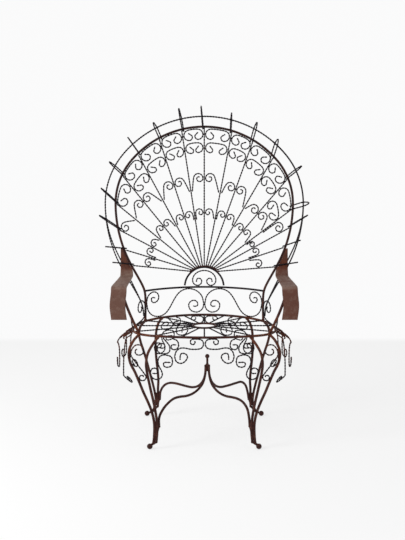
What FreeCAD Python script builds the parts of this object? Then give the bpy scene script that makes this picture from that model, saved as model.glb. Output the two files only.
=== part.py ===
import FreeCAD, Part
import math
import os
from FreeCAD import Vector

os.makedirs("parts", exist_ok=True)

# Garden armchair of bent and welded steel: round bar, flat strap and two-strand twisted wire.
# Millimetres, +Z up, +X to the sitter's left, the chair faces -Y. The origin is on the floor
# under the middle of the chair's outline.

# Stock
frame_bar = 8.5
rail_bar = 7.0
leg_bar = 9.5
stretcher_bar = 9.0
wire = 5.0
strap_thickness = 3.5
weld_gap = 0.3

# Facets: a bend keeps within this distance of its true arc, or turns this far at each facet
bar_sag = 1.0
scroll_sag = 2.2
facet_turn = 50.0
bar_sides = 6
wire_sides = 4
turned_sides = 8

# Where the seat's own middle lies behind the middle of the whole outline
seat_setback = -1.3

# Seat ring, in plan: a half round at the back, short straight sides, corner bends, bowed front
seat_height = 420.0
ring_rear_radius = 265.0
ring_round_setback = 50.0
ring_side_run = 22.0
ring_corner_radius = 110.0
ring_corner_turn = 72.0
seat_hub_radius = 43.0
seat_hub_facets = 18
seat_hub_offset = 3.0
seat_wire_count = 16

# Back hoop, in its own leaning plane: top, shoulder, flank and waist bends, then upright feet
back_lean = 10.0
hoop_top_radius = 369.0
hoop_top_turn = 50.0
hoop_shoulder_radius = 256.0
hoop_flank_radius = 500.0
hoop_waist_radius = 110.0
hoop_waist_height = 90.0
hoop_widest_height = 456.0
hoop_foot_half_width = 227.0

# Two twisted wires that ring the hoop outside it
ring_offset = 40.0
front_ring_flank_radius = 520.0
rear_ring_flank_radius = 420.0
outer_ring_waist_radius = 150.0
outer_ring_foot_height = 20.0
outer_ring_forward = 2.0

# Mid rail and hub, on the bowed surface of the back
rail_above_seat = 115.0
rail_bow = 92.0
hub_arch_radius = 78.0
spoke_hub_step = 4.75
fitting_passes = 12

# C-scroll inside the hub arch, from the middle of its top to the end of one curl
hub_scroll_crown = 54.0
hub_scroll_crown_turn = 35
hub_scroll_shoulder = 35.0
hub_scroll_side = 20.0
hub_scroll_curl = ((16.0, -90), (12.0, -90), (8.0, -80), (8.0, 0))

# Spokes: where each one meets the hoop, measured along the hoop from its top
spoke_at_left = (109.0, 199.0, 301.0, 402.0, 521.0, 593.0, 673.0, 757.0)
spoke_at_right = (89.0, 183.0, 285.0, 388.0, 500.0, 602.0, 684.0, 751.0)

# Finials: length outside the hoop's axis, lean from upright in the hoop's plane, and how far
# the hairpin is turned about its own axis
finial_length_left = (80.0, 69.0, 71.0, 70.0, 71.0, 66.5, 80.0, 64.0, 84.0)
finial_length_right = (80.0, 82.0, 64.0, 74.0, 71.0, 80.0, 90.0, 73.0, 73.0)
finial_lean_left = (-5.0, 3.0, 16.0, 18.0, 52.0, 75.0, 59.0, 71.0, 82.0)
finial_lean_right = (5.0, 11.0, 24.0, 35.0, 48.0, 48.0, 57.0, 85.0, 85.0)
finial_turn_left = (8.0, 10.0, 30.0, 36.0, 27.0, 45.0, 8.0, 0.0, 0.0)
finial_turn_right = (8.0, 20.0, 30.0, 5.0, 25.0, 14.0, 18.0, 0.0, 0.0)
finial_tail = 9.0
finial_tip_radius = 3.5
first_strap_finial = 7

# Scrolls between the spokes: outer rows are C shapes, inner rows are J shapes
outer_row_bends = ((21.0, 90), (19.0, 90), (13.0, 90), (6.0, 50), (16.0, 0))
second_row_depth = 58.0
second_row_bends = ((19.0, 90), (19.0, 90), (10.0, 90), (5.0, 45), (18.0, 0))
third_row_radius = 18.0
third_row_curl = ((13.0, 90), (11.0, 90), (7.5, 90), (5.0, 50))
third_row_left = (350.0, 298.0, 328.0, 273.0, 288.0, 248.0, 307.0)
third_row_right = (350.0, 301.0, 343.0, 301.0, 341.0, 310.0, 322.0)
fourth_row_radius = 14.0
fourth_row_curl = ((8.5, 90), (7.0, 90), (5.0, 80))
fourth_row_left = (216.0, 193.0, 215.0, 190.0, 199.0, 167.0, 183.0, 145.0, 174.0)
fourth_row_right = (216.0, 189.0, 211.0, 189.0, 215.0, 186.0, 192.0, 160.0, 181.0)

# Lower back scrolls: outer bend against the hoop, inner bend against the mirror image, and curls
back_outer_bend = 48.0
back_outer_middle = 185.0
back_outer_curl = ((58.0, 90), (7.0, 0), (34.0, 90), (22.0, 90), (20.0, 90), (14.0, 90), (7.0, 110),
                   (8.0, 0))
back_inner_bend = 59.35
back_inner_middle = 62.0
back_inner_curl = ((8.0, 0), (30.0, 90), (29.0, 90), (20.0, 90), (16.0, 90), (9.0, 100), (8.0, 0))

# Arms: one strap each, level on top, turned down in front and up to the hoop behind. Heights
# are above the seat.
arm_above_seat = 177.0
arm_front = 172.0
arm_drop_end = 58.0
arm_drop_bow = 5.0
arm_front_bend = 18.0
arm_rear_bend = 45.0
arm_top_end = 278.0
arm_outer_front = 338.0
arm_outer_rear = 322.0
arm_width_front = 57.0
arm_width_rear = 49.0
arm_tip_width = 3.0

# Arm supports: top, two places on the way down with their heights above the seat, and how far
# the foot stands off the ring's corner
support_points = ((303.0, -147.0), (289.0, -160.0, 128.0), (265.0, -160.0, 64.0))
support_foot_offset = (4.0, -2.0)
support_facets = 8

# Scrolls under the arms, traced from the support back to the hoop
arm_scroll_fall = 62.0
arm_scroll_fall_bend = 95.0
arm_scroll_dip = 45
arm_scroll_rear_bend = 30.0
arm_scroll_rear_rise = 20.0
arm_scroll_curl = ((28.0, 90), (25.0, 90), (18.0, 90), (12.0, 90), (8.0, 70))
arm_scroll_rear_slope = 50.0
arm_scroll_blend = 1.6

# Legs: offsets from the ring for the upper points, from the foot ball for the lower ones
front_outer_top = 237.5
front_outer_upper = ((30.5, -35.0, -38.0), (37.5, -47.0, -70.0), (16.5, -55.0, -125.0))
front_outer_lower = ((22.0, -4.0, 217.0), (-6.0, -2.0, 149.0), (-16.4, -1.0, 102.0),
                     (-18.0, 0.0, 78.0), (-15.0, 0.0, 46.0), (-13.0, 0.0, 22.0))
front_inner_top = 165.0
front_inner_upper = ((15.0, -13.0, -18.0), (29.0, -23.0, -37.0), (43.0, -28.0, -71.0),
                     (45.0, -28.0, -110.0), (39.0, -26.0, -148.0))
front_inner_lower = ((-8.0, -11.0, 214.0), (-20.5, -6.0, 152.0), (-26.7, -1.0, 102.0),
                     (-28.3, 0.0, 78.0), (-25.3, 0.0, 46.0), (-24.2, 0.0, 27.0))
rear_outer_top = 232.0
rear_outer_upper = ((22.0, 47.0, -59.0), (8.0, 87.0, -133.0))
rear_outer_lower = ((-19.5, -29.0, 163.0), (-32.5, -10.0, 96.0), (-35.0, -4.0, 66.0),
                    (-32.0, -1.0, 40.0), (-22.0, 0.0, 19.0))
rear_inner_top = 165.0
rear_inner_upper = ((22.0, 33.0, -48.0), (28.0, 50.0, -96.0))
rear_inner_lower = ((-37.5, -18.0, 270.0), (-42.0, -13.0, 211.0), (-46.5, -11.0, 147.0),
                    (-44.5, -11.5, 96.0), (-45.7, -6.0, 66.0), (-43.0, -3.0, 40.0))
leg_facets = 11
foot_ball_radius = 10.5
front_foot = (200.0, -198.0)
rear_foot = (230.5, 232.0)

# Serpentine stretchers: distance out from the middle of the cross, and height
cross_middle = 17.0
cross_shift = 11.5
stretcher_top = 259.0
front_stretcher = ((10.5, 241.0), (15.5, 219.0), (25.0, 200.0), (60.0, 176.0), (113.0, 167.0),
                   (190.0, 172.0), (240.0, 152.0))
front_stretcher_end = 84.0
front_stretcher_lead = 8.0
rear_stretcher = ((10.5, 236.0), (15.5, 212.0), (27.0, 193.0), (62.0, 166.0), (108.0, 158.0),
                  (180.0, 157.0), (228.0, 148.0))
rear_stretcher_end = 74.0
rear_stretcher_lead = 15.0
stretcher_knee = 12.0
stretcher_facets = 11
stem_radius = 4.25
stem_low = 240.0
stem_high = 291.0
finial_ball_radius = 8.5

# Skirt of scrolls under the seat ring
# (flare, height of its shoulder, height where it turns back in, height where it is back in line)
skirt_ends = (39.0, 115.0, 115.0, 230.0)
skirt_sides = (60.0, 55.0, 115.0, 210.0)
skirt_tuck = 0.6
side_panel_middle = 370.0

# Scrolls of the skirt, as bends traced from the places named beside them
rail_scroll_top = 15.0
rail_scroll_near = ((rail_scroll_top, -90), (24.0, 0), (8.5, -90), (9.0, -90), (8.0, -90), (5.0, -45))
rail_scroll_far = ((17.0, 75), (75.0, 24), (24.0, 0), (28.0, -99), (3.0, 0), (22.0, -90),
                   (21.0, -90), (14.0, -90), (9.0, -90), (14.0, 0))
round_scroll_start = 113.0
round_scroll_bends = ((22.0, 90), (14.0, 90), (3.0, 0), (10.0, 90), (6.0, 90), (12.0, 0))
hanging_curl_start = 150.0
hanging_curl_rise = 0.5
hanging_curl_heading = 219
hanging_curl_bends = ((22.0, 0), (30.0, 51), (14.0, 90), (14.0, 0), (18.0, 90), (15.0, 90), (4.0, 0),
                      (9.0, 90), (6.0, 90), (12.0, 0))
drop_scroll_start = 137.0
drop_scroll_near = ((8.0, 0), (19.0, 90), (7.0, 0), (16.0, 90), (3.0, 0), (10.0, 90), (7.0, 90),
                    (15.0, 0))
drop_scroll_far = ((3.0, 0), (20.0, -90), (50.0, -35), (6.0, 0), (24.0, 125), (20.0, 90), (8.0, 0),
                   (15.0, 90), (12.0, 90), (8.0, 90), (12.0, 0))
side_scroll_top = 20.0
side_scroll_near = ((side_scroll_top, -90), (11.0, 0), (10.0, -90), (10.0, -90), (8.0, -90),
                    (6.0, -45))
side_scroll_far = ((22.0, 75), (60.0, 24), (14.0, 0), (22.0, -99), (44.0, 0), (20.0, -90),
                   (18.0, -90), (12.0, -90), (8.0, -90), (12.0, 0))
side_hook_bend = 20.0
side_hook_top = ((side_hook_bend, 90), (12.0, 90), (8.0, 90), (6.0, 0))
side_hook_foot = ((132.0, 0), (24.0, 60), (16.0, 30), (13.0, 90), (11.0, 90), (8.0, 90), (12.0, 0))

# Scrolls between the two rods of each front leg, traced both ways from a place in their plane
leg_scroll_start = (256.0, 345.0)
leg_scroll_depth = -204.0
leg_scroll_heading = -126
leg_scroll_foot = ((80.0, 0), (13.0, 126), (11.0, 90), (9.0, 90), (6.0, 90))
leg_scroll_top = ((26.0, 60), (10.0, 0), (22.0, 90), (20.0, 90), (17.0, 90), (12.0, 90), (8.0, 60))

arm_height = seat_height + arm_above_seat
rail_height = seat_height + rail_above_seat
bar_radius = frame_bar / 2
leg_radius = leg_bar / 2
stretcher_radius = stretcher_bar / 2
rail_radius = rail_bar / 2
wire_radius = wire / 2
wire_pitch = wire + weld_gap
wire_on_bar = bar_radius + wire_radius + weld_gap
wire_on_rail = rail_radius + wire_radius + weld_gap
lean = math.radians(back_lean)
mitre_reach = wire_radius * (1 / math.cos(math.radians(22.5)) - 1)


def bend_steps(radius, turn, sag):
    """How many facets a bend gets."""
    widest = 2 * math.degrees(math.acos(max(0.0, 1 - sag / radius)))
    return max(1, math.ceil(abs(turn) / min(facet_turn, widest) - 0.01))


def trace(start, heading, moves, sag):
    """Corner points of a flat bent bar.

    Each move is (length, 0) for a straight run or (radius, degrees) for a bend,
    with bends to the left counted positive.
    """
    x, y = start
    angle = math.radians(heading)
    points = [(x, y)]
    for size, turn in moves:
        if turn == 0:
            x += size * math.cos(angle)
            y += size * math.sin(angle)
            points.append((x, y))
            continue
        side = math.copysign(1, turn)
        centre_x = x - side * size * math.sin(angle)
        centre_y = y + side * size * math.cos(angle)
        steps = bend_steps(size, turn, sag)
        for step in range(1, steps + 1):
            now = angle + math.radians(turn) * step / steps
            x = centre_x + side * size * math.sin(now)
            y = centre_y - side * size * math.cos(now)
            points.append((x, y))
        angle += math.radians(turn)
    return points


def two_ways(start, heading, ahead, behind, sag=scroll_sag):
    """A bar drawn both ways from one point: ahead along the heading, behind against it."""
    back_part = trace(start, heading + 180, behind, sag)
    front_part = trace(start, heading, ahead, sag)
    straight_on = ahead[0][1] == 0 and behind[0][1] == 0
    return back_part[:0:-1] + front_part[1 if straight_on else 0:]


def mirrored(moves):
    return tuple((size, -turn) for size, turn in moves)


def common_tangent(centre_a, radius_a, side_a, centre_b, radius_b, side_b):
    """Straight run that leaves circle A and joins circle B.

    A side of +1 turns left round its circle, -1 turns right. Gives the run's
    heading and length and its two ends.
    """
    across = centre_b[0] - centre_a[0]
    along = centre_b[1] - centre_a[1]
    apart = math.hypot(across, along)
    tilt = math.asin((side_b * radius_b - side_a * radius_a) / apart)
    heading = math.atan2(along, across) - tilt
    left = (-math.sin(heading), math.cos(heading))
    leaves = (centre_a[0] - side_a * radius_a * left[0], centre_a[1] - side_a * radius_a * left[1])
    joins = (centre_b[0] - side_b * radius_b * left[0], centre_b[1] - side_b * radius_b * left[1])
    length = math.hypot(joins[0] - leaves[0], joins[1] - leaves[1])
    return math.degrees(heading) % 360, length, leaves, joins


def walk(points, distance):
    """Point and heading at a distance along a line of 3D points."""
    for here, there in zip(points, points[1:]):
        step = there - here
        if distance <= step.Length:
            break
        distance -= step.Length
    heading = Vector(step).normalize()
    return here + heading * distance, heading


def crossing(points, axis, value):
    """First point of a line of 3D points whose x, y or z passes a value."""
    for here, there in zip(points, points[1:]):
        low = here[axis] - value
        high = there[axis] - value
        if low * high <= 0 and low != high:
            return here + (there - here) * (low / (low - high))
    raise ValueError("the line does not reach that place")


def closest(points, line):
    """Least distance from the points of one bar to the axis of another."""
    best = 1e9
    for here, there in zip(line, line[1:]):
        step = there - here
        for point in points:
            share = min(1.0, max(0.0, (point - here).dot(step) / step.dot(step)))
            best = min(best, (here + step * share - point).Length)
    return best


def butt_length(direction, carrier_heading, carrier_radius, radius):
    """How far short of its carrier's axis a welded end is cut."""
    slant = abs(direction.dot(carrier_heading))
    square = math.sqrt(1 - slant * slant)
    return (carrier_radius + weld_gap + radius * slant) / square


def bar(points, radius, sides, up, closed=False):
    """Bent bar of even section, mitred at its corners.

    The section has a corner in the plane of the bend and, with four sides, one along up.
    """
    last = len(points) - 1
    runs = [(b - a).normalize() for a, b in zip(points, points[1:])]
    if closed:
        cuts = [(runs[i - 1] + runs[i]).normalize() for i in range(last)]
        cuts.append(cuts[0])
    else:
        cuts = [runs[0]]
        cuts += [(runs[i - 1] + runs[i]).normalize() for i in range(1, last)]
        cuts.append(runs[-1])
    side = runs[0].cross(up).normalize()
    top = side.cross(runs[0])
    corners = []
    for corner in range(sides):
        angle = 2 * math.pi * corner / sides
        corners.append(points[0] + side * (radius * math.cos(angle)) + top * (radius * math.sin(angle)))
    sections = []
    for i in range(last + 1):
        run = runs[max(0, i - 1)]
        corners = [c + run * ((points[i] - c).dot(cuts[i]) / run.dot(cuts[i])) for c in corners]
        sections.append(corners)
    return faceted(sections, closed)


def flat_face(corners):
    return Part.Face(Part.makePolygon(corners + [corners[0]]))


def faceted(sections, closed=False):
    """Solid with flat faces between sections of equally many corners."""
    faces = []
    for near, far in zip(sections, sections[1:]):
        count = len(near)
        for k in range(count):
            m = (k + 1) % count
            rest = far[k] - near[k]
            skew = (near[m] - near[k]).cross(far[m] - near[k]).dot(rest)
            if abs(skew) < 1e-4 * rest.Length:
                faces.append(flat_face([near[k], near[m], far[m], far[k]]))
            else:
                faces.append(flat_face([near[k], near[m], far[m]]))
                faces.append(flat_face([near[k], far[m], far[k]]))
    if not closed:
        faces.append(flat_face(sections[0]))
        faces.append(flat_face(sections[-1]))
    shell = Part.makeShell(faces)
    shell.sewShape()
    solid = Part.makeSolid(shell)
    if solid.Volume < 0:
        solid.reverse()
    return solid


def turned(profile, centre):
    """Turned piece with an upright axis, from (radius, height) pairs, bottom to top."""
    sections = []
    for radius, height in profile:
        ring = []
        for k in range(turned_sides):
            angle = 2 * math.pi * k / turned_sides
            ring.append(centre + Vector(radius * math.cos(angle), radius * math.sin(angle), height))
        sections.append(ring)
    return faceted(sections)


def ball_profile(radius, middle, first, last, rings):
    """Radius and height pairs up a ball, from one latitude to another."""
    pairs = []
    for k in range(rings + 1):
        latitude = math.radians(first + (last - first) * k / rings)
        pairs.append((radius * math.cos(latitude), middle + radius * math.sin(latitude)))
    return pairs


def through(points, facets):
    """Even smooth curve through a few points, cut into straight facets."""
    curve = Part.BSplineCurve()
    curve.interpolate(points)
    return curve.discretize(Number=facets + 1)


def flip(points):
    return [Vector(-p.x, p.y, p.z) for p in points]


def wire_piece(points, up):
    return bar(points, wire_radius, wire_sides, up)


def save(name, pieces):
    """Write one node, moved so that the origin is under the middle of the outline."""
    moved = [piece.translated(Vector(0, seat_setback, 0)) for piece in pieces]
    shape = moved[0] if len(moved) == 1 else Part.makeCompound(moved)
    shape.exportStep("parts/" + name + ".step")
    built[name] = moved


built = {}
sides = {"left": (1, spoke_at_left), "right": (-1, spoke_at_right)}
finials = {"left": (finial_length_left, finial_lean_left, finial_turn_left),
           "right": (finial_length_right, finial_lean_right, finial_turn_right)}


# Seat ring, traced in plan from the middle of the front to the middle of the back
ring_front_turn = 90 - ring_corner_turn
front_share = math.sin(math.radians(ring_front_turn))
front_rise = math.cos(math.radians(ring_front_turn))
ring_front_radius = (ring_rear_radius - ring_corner_radius * (1 - front_share)) / front_share
ring_front = (ring_round_setback + ring_side_run + ring_corner_radius * front_rise
              + ring_front_radius * (1 - front_rise))
ring_moves = ((ring_front_radius, ring_front_turn), (ring_corner_radius, ring_corner_turn),
              (ring_side_run, 0), (ring_rear_radius, 90))
ring_plan = trace((0.0, -ring_front), 0, ring_moves, bar_sag)
ring_line = [Vector(x, y, seat_height) for x, y in ring_plan]
ring_length = sum((b - a).Length for a, b in zip(ring_line, ring_line[1:]))
upright = Vector(0, 0, 1)


def ring_across(y):
    """Half width of the seat ring at a place y."""
    return crossing(ring_line, 1, y).x


def ring_distance(point):
    """Distance along the half ring, from its front middle, to the corner nearest a point."""
    distance = 0.0
    nearest = (point - ring_line[0]).Length, 0.0
    for here, there in zip(ring_line, ring_line[1:]):
        distance += (there - here).Length
        nearest = min(nearest, ((point - there).Length, distance))
    return nearest[1]


def seat_ring():
    loop = ring_line + flip(ring_line[::-1])[1:]
    save("seat_ring", [bar(loop, bar_radius, bar_sides, upright, closed=True)])


def seat_hub():
    middle = Vector(0, seat_hub_offset, seat_height)
    loop = []
    for k in range(seat_hub_facets + 1):
        angle = 2 * math.pi * k / seat_hub_facets
        loop.append(middle + Vector(math.cos(angle), math.sin(angle), 0) * seat_hub_radius)
    loop[-1] = loop[0]
    save("seat_hub_ring", [bar(loop, rail_radius, bar_sides, upright, closed=True)])


def ring_hit(middle, direction):
    """Where a level ray from the middle of the seat meets the ring, and the ring's heading."""
    loop = ring_line + flip(ring_line[::-1])[1:]
    for here, there in zip(loop, loop[1:]):
        step = there - here
        level = direction.x * step.y - direction.y * step.x
        if abs(level) < 1e-9:
            continue
        offset = here - middle
        reach = (offset.x * step.y - offset.y * step.x) / level
        share = (offset.x * direction.y - offset.y * direction.x) / level
        if reach > 0 and -1e-6 <= share <= 1 + 1e-6:
            return middle + direction * reach, Vector(step).normalize()
    raise ValueError("the ray misses the ring")


def seat_wires():
    """Radial wires from the hub ring to the seat ring, in four groups."""
    groups = {"rear": [], "front": [], "left": [], "right": []}
    middle = Vector(0, seat_hub_offset, seat_height)
    for k in range(seat_wire_count):
        angle = 360.0 * k / seat_wire_count
        direction = Vector(math.sin(math.radians(angle)), math.cos(math.radians(angle)), 0)
        hit, heading = ring_hit(middle, direction)
        start = middle + direction * (seat_hub_radius + rail_radius + weld_gap)
        end = hit - direction * butt_length(direction, heading, bar_radius, wire_radius)
        if angle < 45 or angle > 315:
            group = "rear"
        elif 135 < angle < 225:
            group = "front"
        else:
            group = "left" if direction.x > 0 else "right"
        groups[group].append(wire_piece([start, end], upright))
    for group, pieces in groups.items():
        save("seat_wires_" + group, pieces)


# Back hoop and its two outer wires
hoop_foot_y = crossing(ring_line[len(ring_line) // 2:], 0, hoop_foot_half_width).y
back_normal = Vector(0, math.cos(lean), -math.sin(lean))


def on_back(x, height, depth=0.0):
    """Point of the hoop's leaning plane; depth is behind it."""
    return Vector(x, hoop_foot_y + height * math.sin(lean) + depth * math.cos(lean),
                  seat_height + height * math.cos(lean) - depth * math.sin(lean))


def hoop_outline(offset, flank_radius, waist_radius, waist_height, foot_half_width, foot_height):
    """Half of the hoop, or of a wire round it, from the top down to the foot."""
    top_radius = hoop_top_radius + offset
    shoulder_radius = hoop_shoulder_radius + offset
    top_turn = math.radians(hoop_top_turn)
    top_height = (hoop_widest_height + top_radius * (1 - math.cos(top_turn))
                  + shoulder_radius * math.cos(top_turn))
    half_width = top_radius * math.sin(top_turn) + shoulder_radius * (1 - math.sin(top_turn))
    flank_centre = (half_width - flank_radius, hoop_widest_height)
    waist_centre = (foot_half_width + waist_radius, waist_height)
    heading, length, _, _ = common_tangent(flank_centre, flank_radius, -1, waist_centre, waist_radius, 1)
    flank_turn = heading - 270
    moves = [(top_radius, -hoop_top_turn), (shoulder_radius, hoop_top_turn - 90),
             (flank_radius, flank_turn), (length, 0), (waist_radius, -flank_turn)]
    if waist_height > foot_height:
        moves.append((waist_height - foot_height, 0))
    return trace((0.0, top_height), 0, moves, bar_sag)


foot_stand = (bar_radius + weld_gap + bar_radius * math.sin(lean)) / math.cos(lean)
hoop_half = hoop_outline(0.0, hoop_flank_radius, hoop_waist_radius, hoop_waist_height,
                         hoop_foot_half_width, foot_stand)
hoop_line = [on_back(x, height) for x, height in hoop_half]
rail_end = crossing(hoop_line, 2, rail_height)
front_ring_depth = -outer_ring_forward
rear_ring_depth = wire_pitch - outer_ring_forward
strap_depth = front_ring_depth - wire_radius - weld_gap - strap_thickness / 2


def outer_ring_half(flank_radius, depth):
    foot_half_width = hoop_foot_half_width + math.sqrt(wire_on_bar ** 2 - depth ** 2)
    return hoop_outline(ring_offset, flank_radius, outer_ring_waist_radius, outer_ring_foot_height,
                        foot_half_width, outer_ring_foot_height)


front_ring_half = outer_ring_half(front_ring_flank_radius, front_ring_depth)
rear_ring_half = outer_ring_half(rear_ring_flank_radius, rear_ring_depth)


def back_hoop():
    loop = flip(hoop_line[::-1]) + hoop_line[1:]
    save("back_hoop", [bar(loop, bar_radius, bar_sides, back_normal)])


def outer_ring(name, half, depth):
    line = [on_back(x, height, depth) for x, height in half]
    save(name, [wire_piece(flip(line[::-1]) + line[1:], back_normal)])


# Bowed surface of the back: level arcs behind the hoop's feet, through the mid rail
rail_radius_plan = (rail_end.x ** 2 + rail_bow ** 2) / (2 * rail_bow)
rail_back = rail_end.y + rail_bow


def on_rail(u, height, set_back=0.0):
    """Point at a distance u round the mid rail's bow and a height above the rail."""
    angle = u / rail_radius_plan
    x = rail_radius_plan * math.sin(angle)
    y = rail_back - rail_radius_plan * (1 - math.cos(angle)) + set_back
    return Vector(x, y, rail_height + height)


def mid_rail():
    half_angle = math.degrees(math.asin(rail_end.x / rail_radius_plan))
    short = butt_length(Vector(math.cos(math.radians(half_angle)), math.sin(math.radians(half_angle)), 0),
                        Vector(0, math.sin(lean), math.cos(lean)), bar_radius, rail_radius)
    half = rail_radius_plan * math.radians(half_angle) - short
    steps = 2 * bend_steps(rail_radius_plan, half_angle, bar_sag)
    points = [on_rail(-half + 2 * half * k / steps, 0.0) for k in range(steps + 1)]
    save("mid_rail", [bar(points, rail_radius, bar_sides, upright)])


def on_hub(u, height):
    """Point of the hub's leaning part of the bowed surface."""
    return on_rail(u, height * math.cos(lean), height * math.sin(lean))


def hub_arch():
    steps = 2 * bend_steps(hub_arch_radius, 90, bar_sag)
    foot = math.degrees(math.asin((rail_radius * 2 + weld_gap) / hub_arch_radius))
    points = []
    for k in range(steps + 1):
        angle = math.radians(-90 + foot + (180 - 2 * foot) * k / steps)
        points.append(on_hub(hub_arch_radius * math.sin(angle), hub_arch_radius * math.cos(angle)))
    save("hub_arch", [bar(points, rail_radius, bar_sides, back_normal)])


def hub_scroll():
    """C-scroll inside the arch, its two curls standing on the mid rail."""
    half = ((hub_scroll_crown, -hub_scroll_crown_turn),
            (hub_scroll_shoulder, hub_scroll_crown_turn - 90),
            (hub_scroll_side, -90)) + hub_scroll_curl
    crown = math.radians(hub_scroll_crown_turn)
    top = wire_on_rail + hub_scroll_crown * (1 - math.cos(crown)) + hub_scroll_side
    top += hub_scroll_shoulder * math.cos(crown)
    flat = two_ways((0.0, top), 0, half, mirrored(half))
    save("hub_scroll", [wire_piece([on_hub(u, h) for u, h in flat], back_normal)])


# Spokes and the hairpin finials that carry the outer wires
def spoke_axis(side, index):
    """Ends of a spoke's axis: on the axis of the hub arch and on the axis of the hoop."""
    sign, places = sides[side]
    angle = math.radians(index * spoke_hub_step)
    hub_end = on_hub(hub_arch_radius * math.sin(angle), hub_arch_radius * math.cos(angle))
    distance = places[index - 1] if index else 0.0
    hoop_end, heading = walk(hoop_line, distance)
    if sign < 0:
        hub_end, hoop_end, heading = flip([hub_end, hoop_end, heading])
    return hub_end, hoop_end, heading


def spoke(side, index):
    hub_end, hoop_end, heading = spoke_axis(side, index)
    direction = (hoop_end - hub_end).normalize()
    sign = sides[side][0]
    angle = math.radians(index * spoke_hub_step)
    arch_heading = Vector(sign * math.cos(angle), 0, -math.sin(angle))
    start = hub_end + direction * butt_length(direction, arch_heading, rail_radius, wire_radius)
    end = hoop_end - direction * butt_length(direction, heading, bar_radius, wire_radius)
    return wire_piece([start, end], back_normal)


def ring_reach(origin, direction, half):
    """Distance from a place on the hoop to an outer wire, in the hoop's plane."""
    whole_ring = [(-x, y) for x, y in half[:0:-1]] + half
    for (xa, ya), (xb, yb) in zip(whole_ring, whole_ring[1:]):
        step_x = xb - xa
        step_y = yb - ya
        level = direction[0] * step_y - direction[1] * step_x
        if abs(level) < 1e-9:
            continue
        off_x = xa - origin[0]
        off_y = ya - origin[1]
        reach = (off_x * step_y - off_y * step_x) / level
        share = (off_x * direction[1] - off_y * direction[0]) / level
        if reach > 0 and -0.01 <= share <= 1.01:
            return reach
    raise ValueError("the finial misses the outer wire")


def finial(side, index):
    """Hairpin of twisted wire, astride the hoop and both outer wires, beside its spoke."""
    _, hoop_place, _ = spoke_axis(side, index)
    sign = sides[side][0]
    lengths, leans, turns = finials[side]
    turn = math.radians(turns[index])
    half_wire = wire_radius * math.cos(turn)
    angle = math.radians(leans[index])
    reach_direction = (math.sin(angle), math.cos(angle))
    origin = (sign * hoop_place.x, (hoop_place.z - seat_height) / math.cos(lean))
    beside = (-reach_direction[1] * wire_pitch, reach_direction[0] * wire_pitch)
    origin = (origin[0] + beside[0], origin[1] + beside[1])
    at_front = ring_reach(origin, reach_direction, front_ring_half)
    at_rear = ring_reach(origin, reach_direction, rear_ring_half)
    tip = lengths[index]
    at_hoop = bar_radius + weld_gap + half_wire
    beyond_ring = wire_radius + weld_gap + (half_wire + wire_radius) / 2 + mitre_reach
    front_leg = -front_ring_depth + beyond_ring
    rear_leg = rear_ring_depth + beyond_ring
    if index >= first_strap_finial:
        front_leg = -strap_depth + strap_thickness / 2 + weld_gap + wire_radius
    profile = ((-finial_tail, -max(at_hoop, front_leg)), (at_front, -front_leg),
               (tip - finial_tip_radius, -finial_tip_radius), (tip, 0.0),
               (tip - finial_tip_radius, finial_tip_radius), (at_rear, rear_leg),
               (-finial_tail, at_hoop))
    points = []
    for reach, depth in profile:
        aside = depth * math.tan(turn)
        x = origin[0] + reach_direction[0] * reach - reach_direction[1] * aside
        height = origin[1] + reach_direction[1] * reach + reach_direction[0] * aside
        points.append(on_back(sign * x, height, depth))
    across = (points[1] - points[0]).cross(points[2] - points[1])
    return wire_piece(points, across)


def spokes_and_finials():
    save("spoke_centre", [spoke("left", 0)])
    save("finial_centre", [finial("left", 0)])
    for side, (_, places) in sides.items():
        indices = range(1, len(places) + 1)
        save("spokes_" + side, [spoke(side, index) for index in indices])
        save("finials_" + side, [finial(side, index) for index in indices])


# Scrolls in the panels between neighbouring spokes
class Panel:
    """Flat frame between two spokes: across from the first to the second, down from the hoop."""

    def __init__(self, side, first):
        self.hub_a, self.top_a, _ = spoke_axis(side, first)
        self.hub_b, self.top_b, _ = spoke_axis(side, first + 1)
        self.across = (self.top_b - self.top_a).normalize()
        inward = (self.hub_a + self.hub_b - self.top_a - self.top_b) * 0.5
        self.down = (inward - self.across * inward.dot(self.across)).normalize()
        self.normal = self.across.cross(self.down)

    def flat(self, point):
        offset = point - self.top_a
        return offset.dot(self.across), offset.dot(self.down)

    def spoke_gaps(self, points):
        """Least distances from flat points to the first and the second spoke, nil on a spoke."""
        foot_a = self.flat(self.hub_a)
        foot_b = self.flat(self.hub_b)
        width = self.flat(self.top_b)[0]
        length_a = math.hypot(*foot_a)
        length_b = math.hypot(foot_b[0] - width, foot_b[1])
        gap_a = min(x * foot_a[1] - y * foot_a[0] for x, y in points) / length_a
        gap_b = min(y * (foot_b[0] - width) - (x - width) * foot_b[1] for x, y in points) / length_b
        return gap_a, gap_b

    def place(self, points):
        """Flat points back in space, carried by the slightly twisted panel."""
        lift_a = (self.hub_a - self.top_a).dot(self.normal)
        lift_b = (self.hub_b - self.top_a).dot(self.normal)
        (hub_a_x, depth_a), (hub_b_x, depth_b) = self.flat(self.hub_a), self.flat(self.hub_b)
        width = self.flat(self.top_b)[0]
        placed = []
        for x, depth in points:
            left = hub_a_x * depth / depth_a
            right = width + (hub_b_x - width) * depth / depth_b
            share = (x - left) / (right - left)
            lift = (1 - share) * lift_a * depth / depth_a + share * lift_b * depth / depth_b
            placed.append(self.top_a + self.across * x + self.down * depth + self.normal * lift)
        return placed


def c_shape(low, high, depth, bends):
    """C-scroll drawn flat, its two sides at the lateral places low and high."""
    half = (((high - low) / 2 - bends[0][0], 0),) + bends
    return two_ways(((low + high) / 2, depth), 0, half, mirrored(half))


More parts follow.
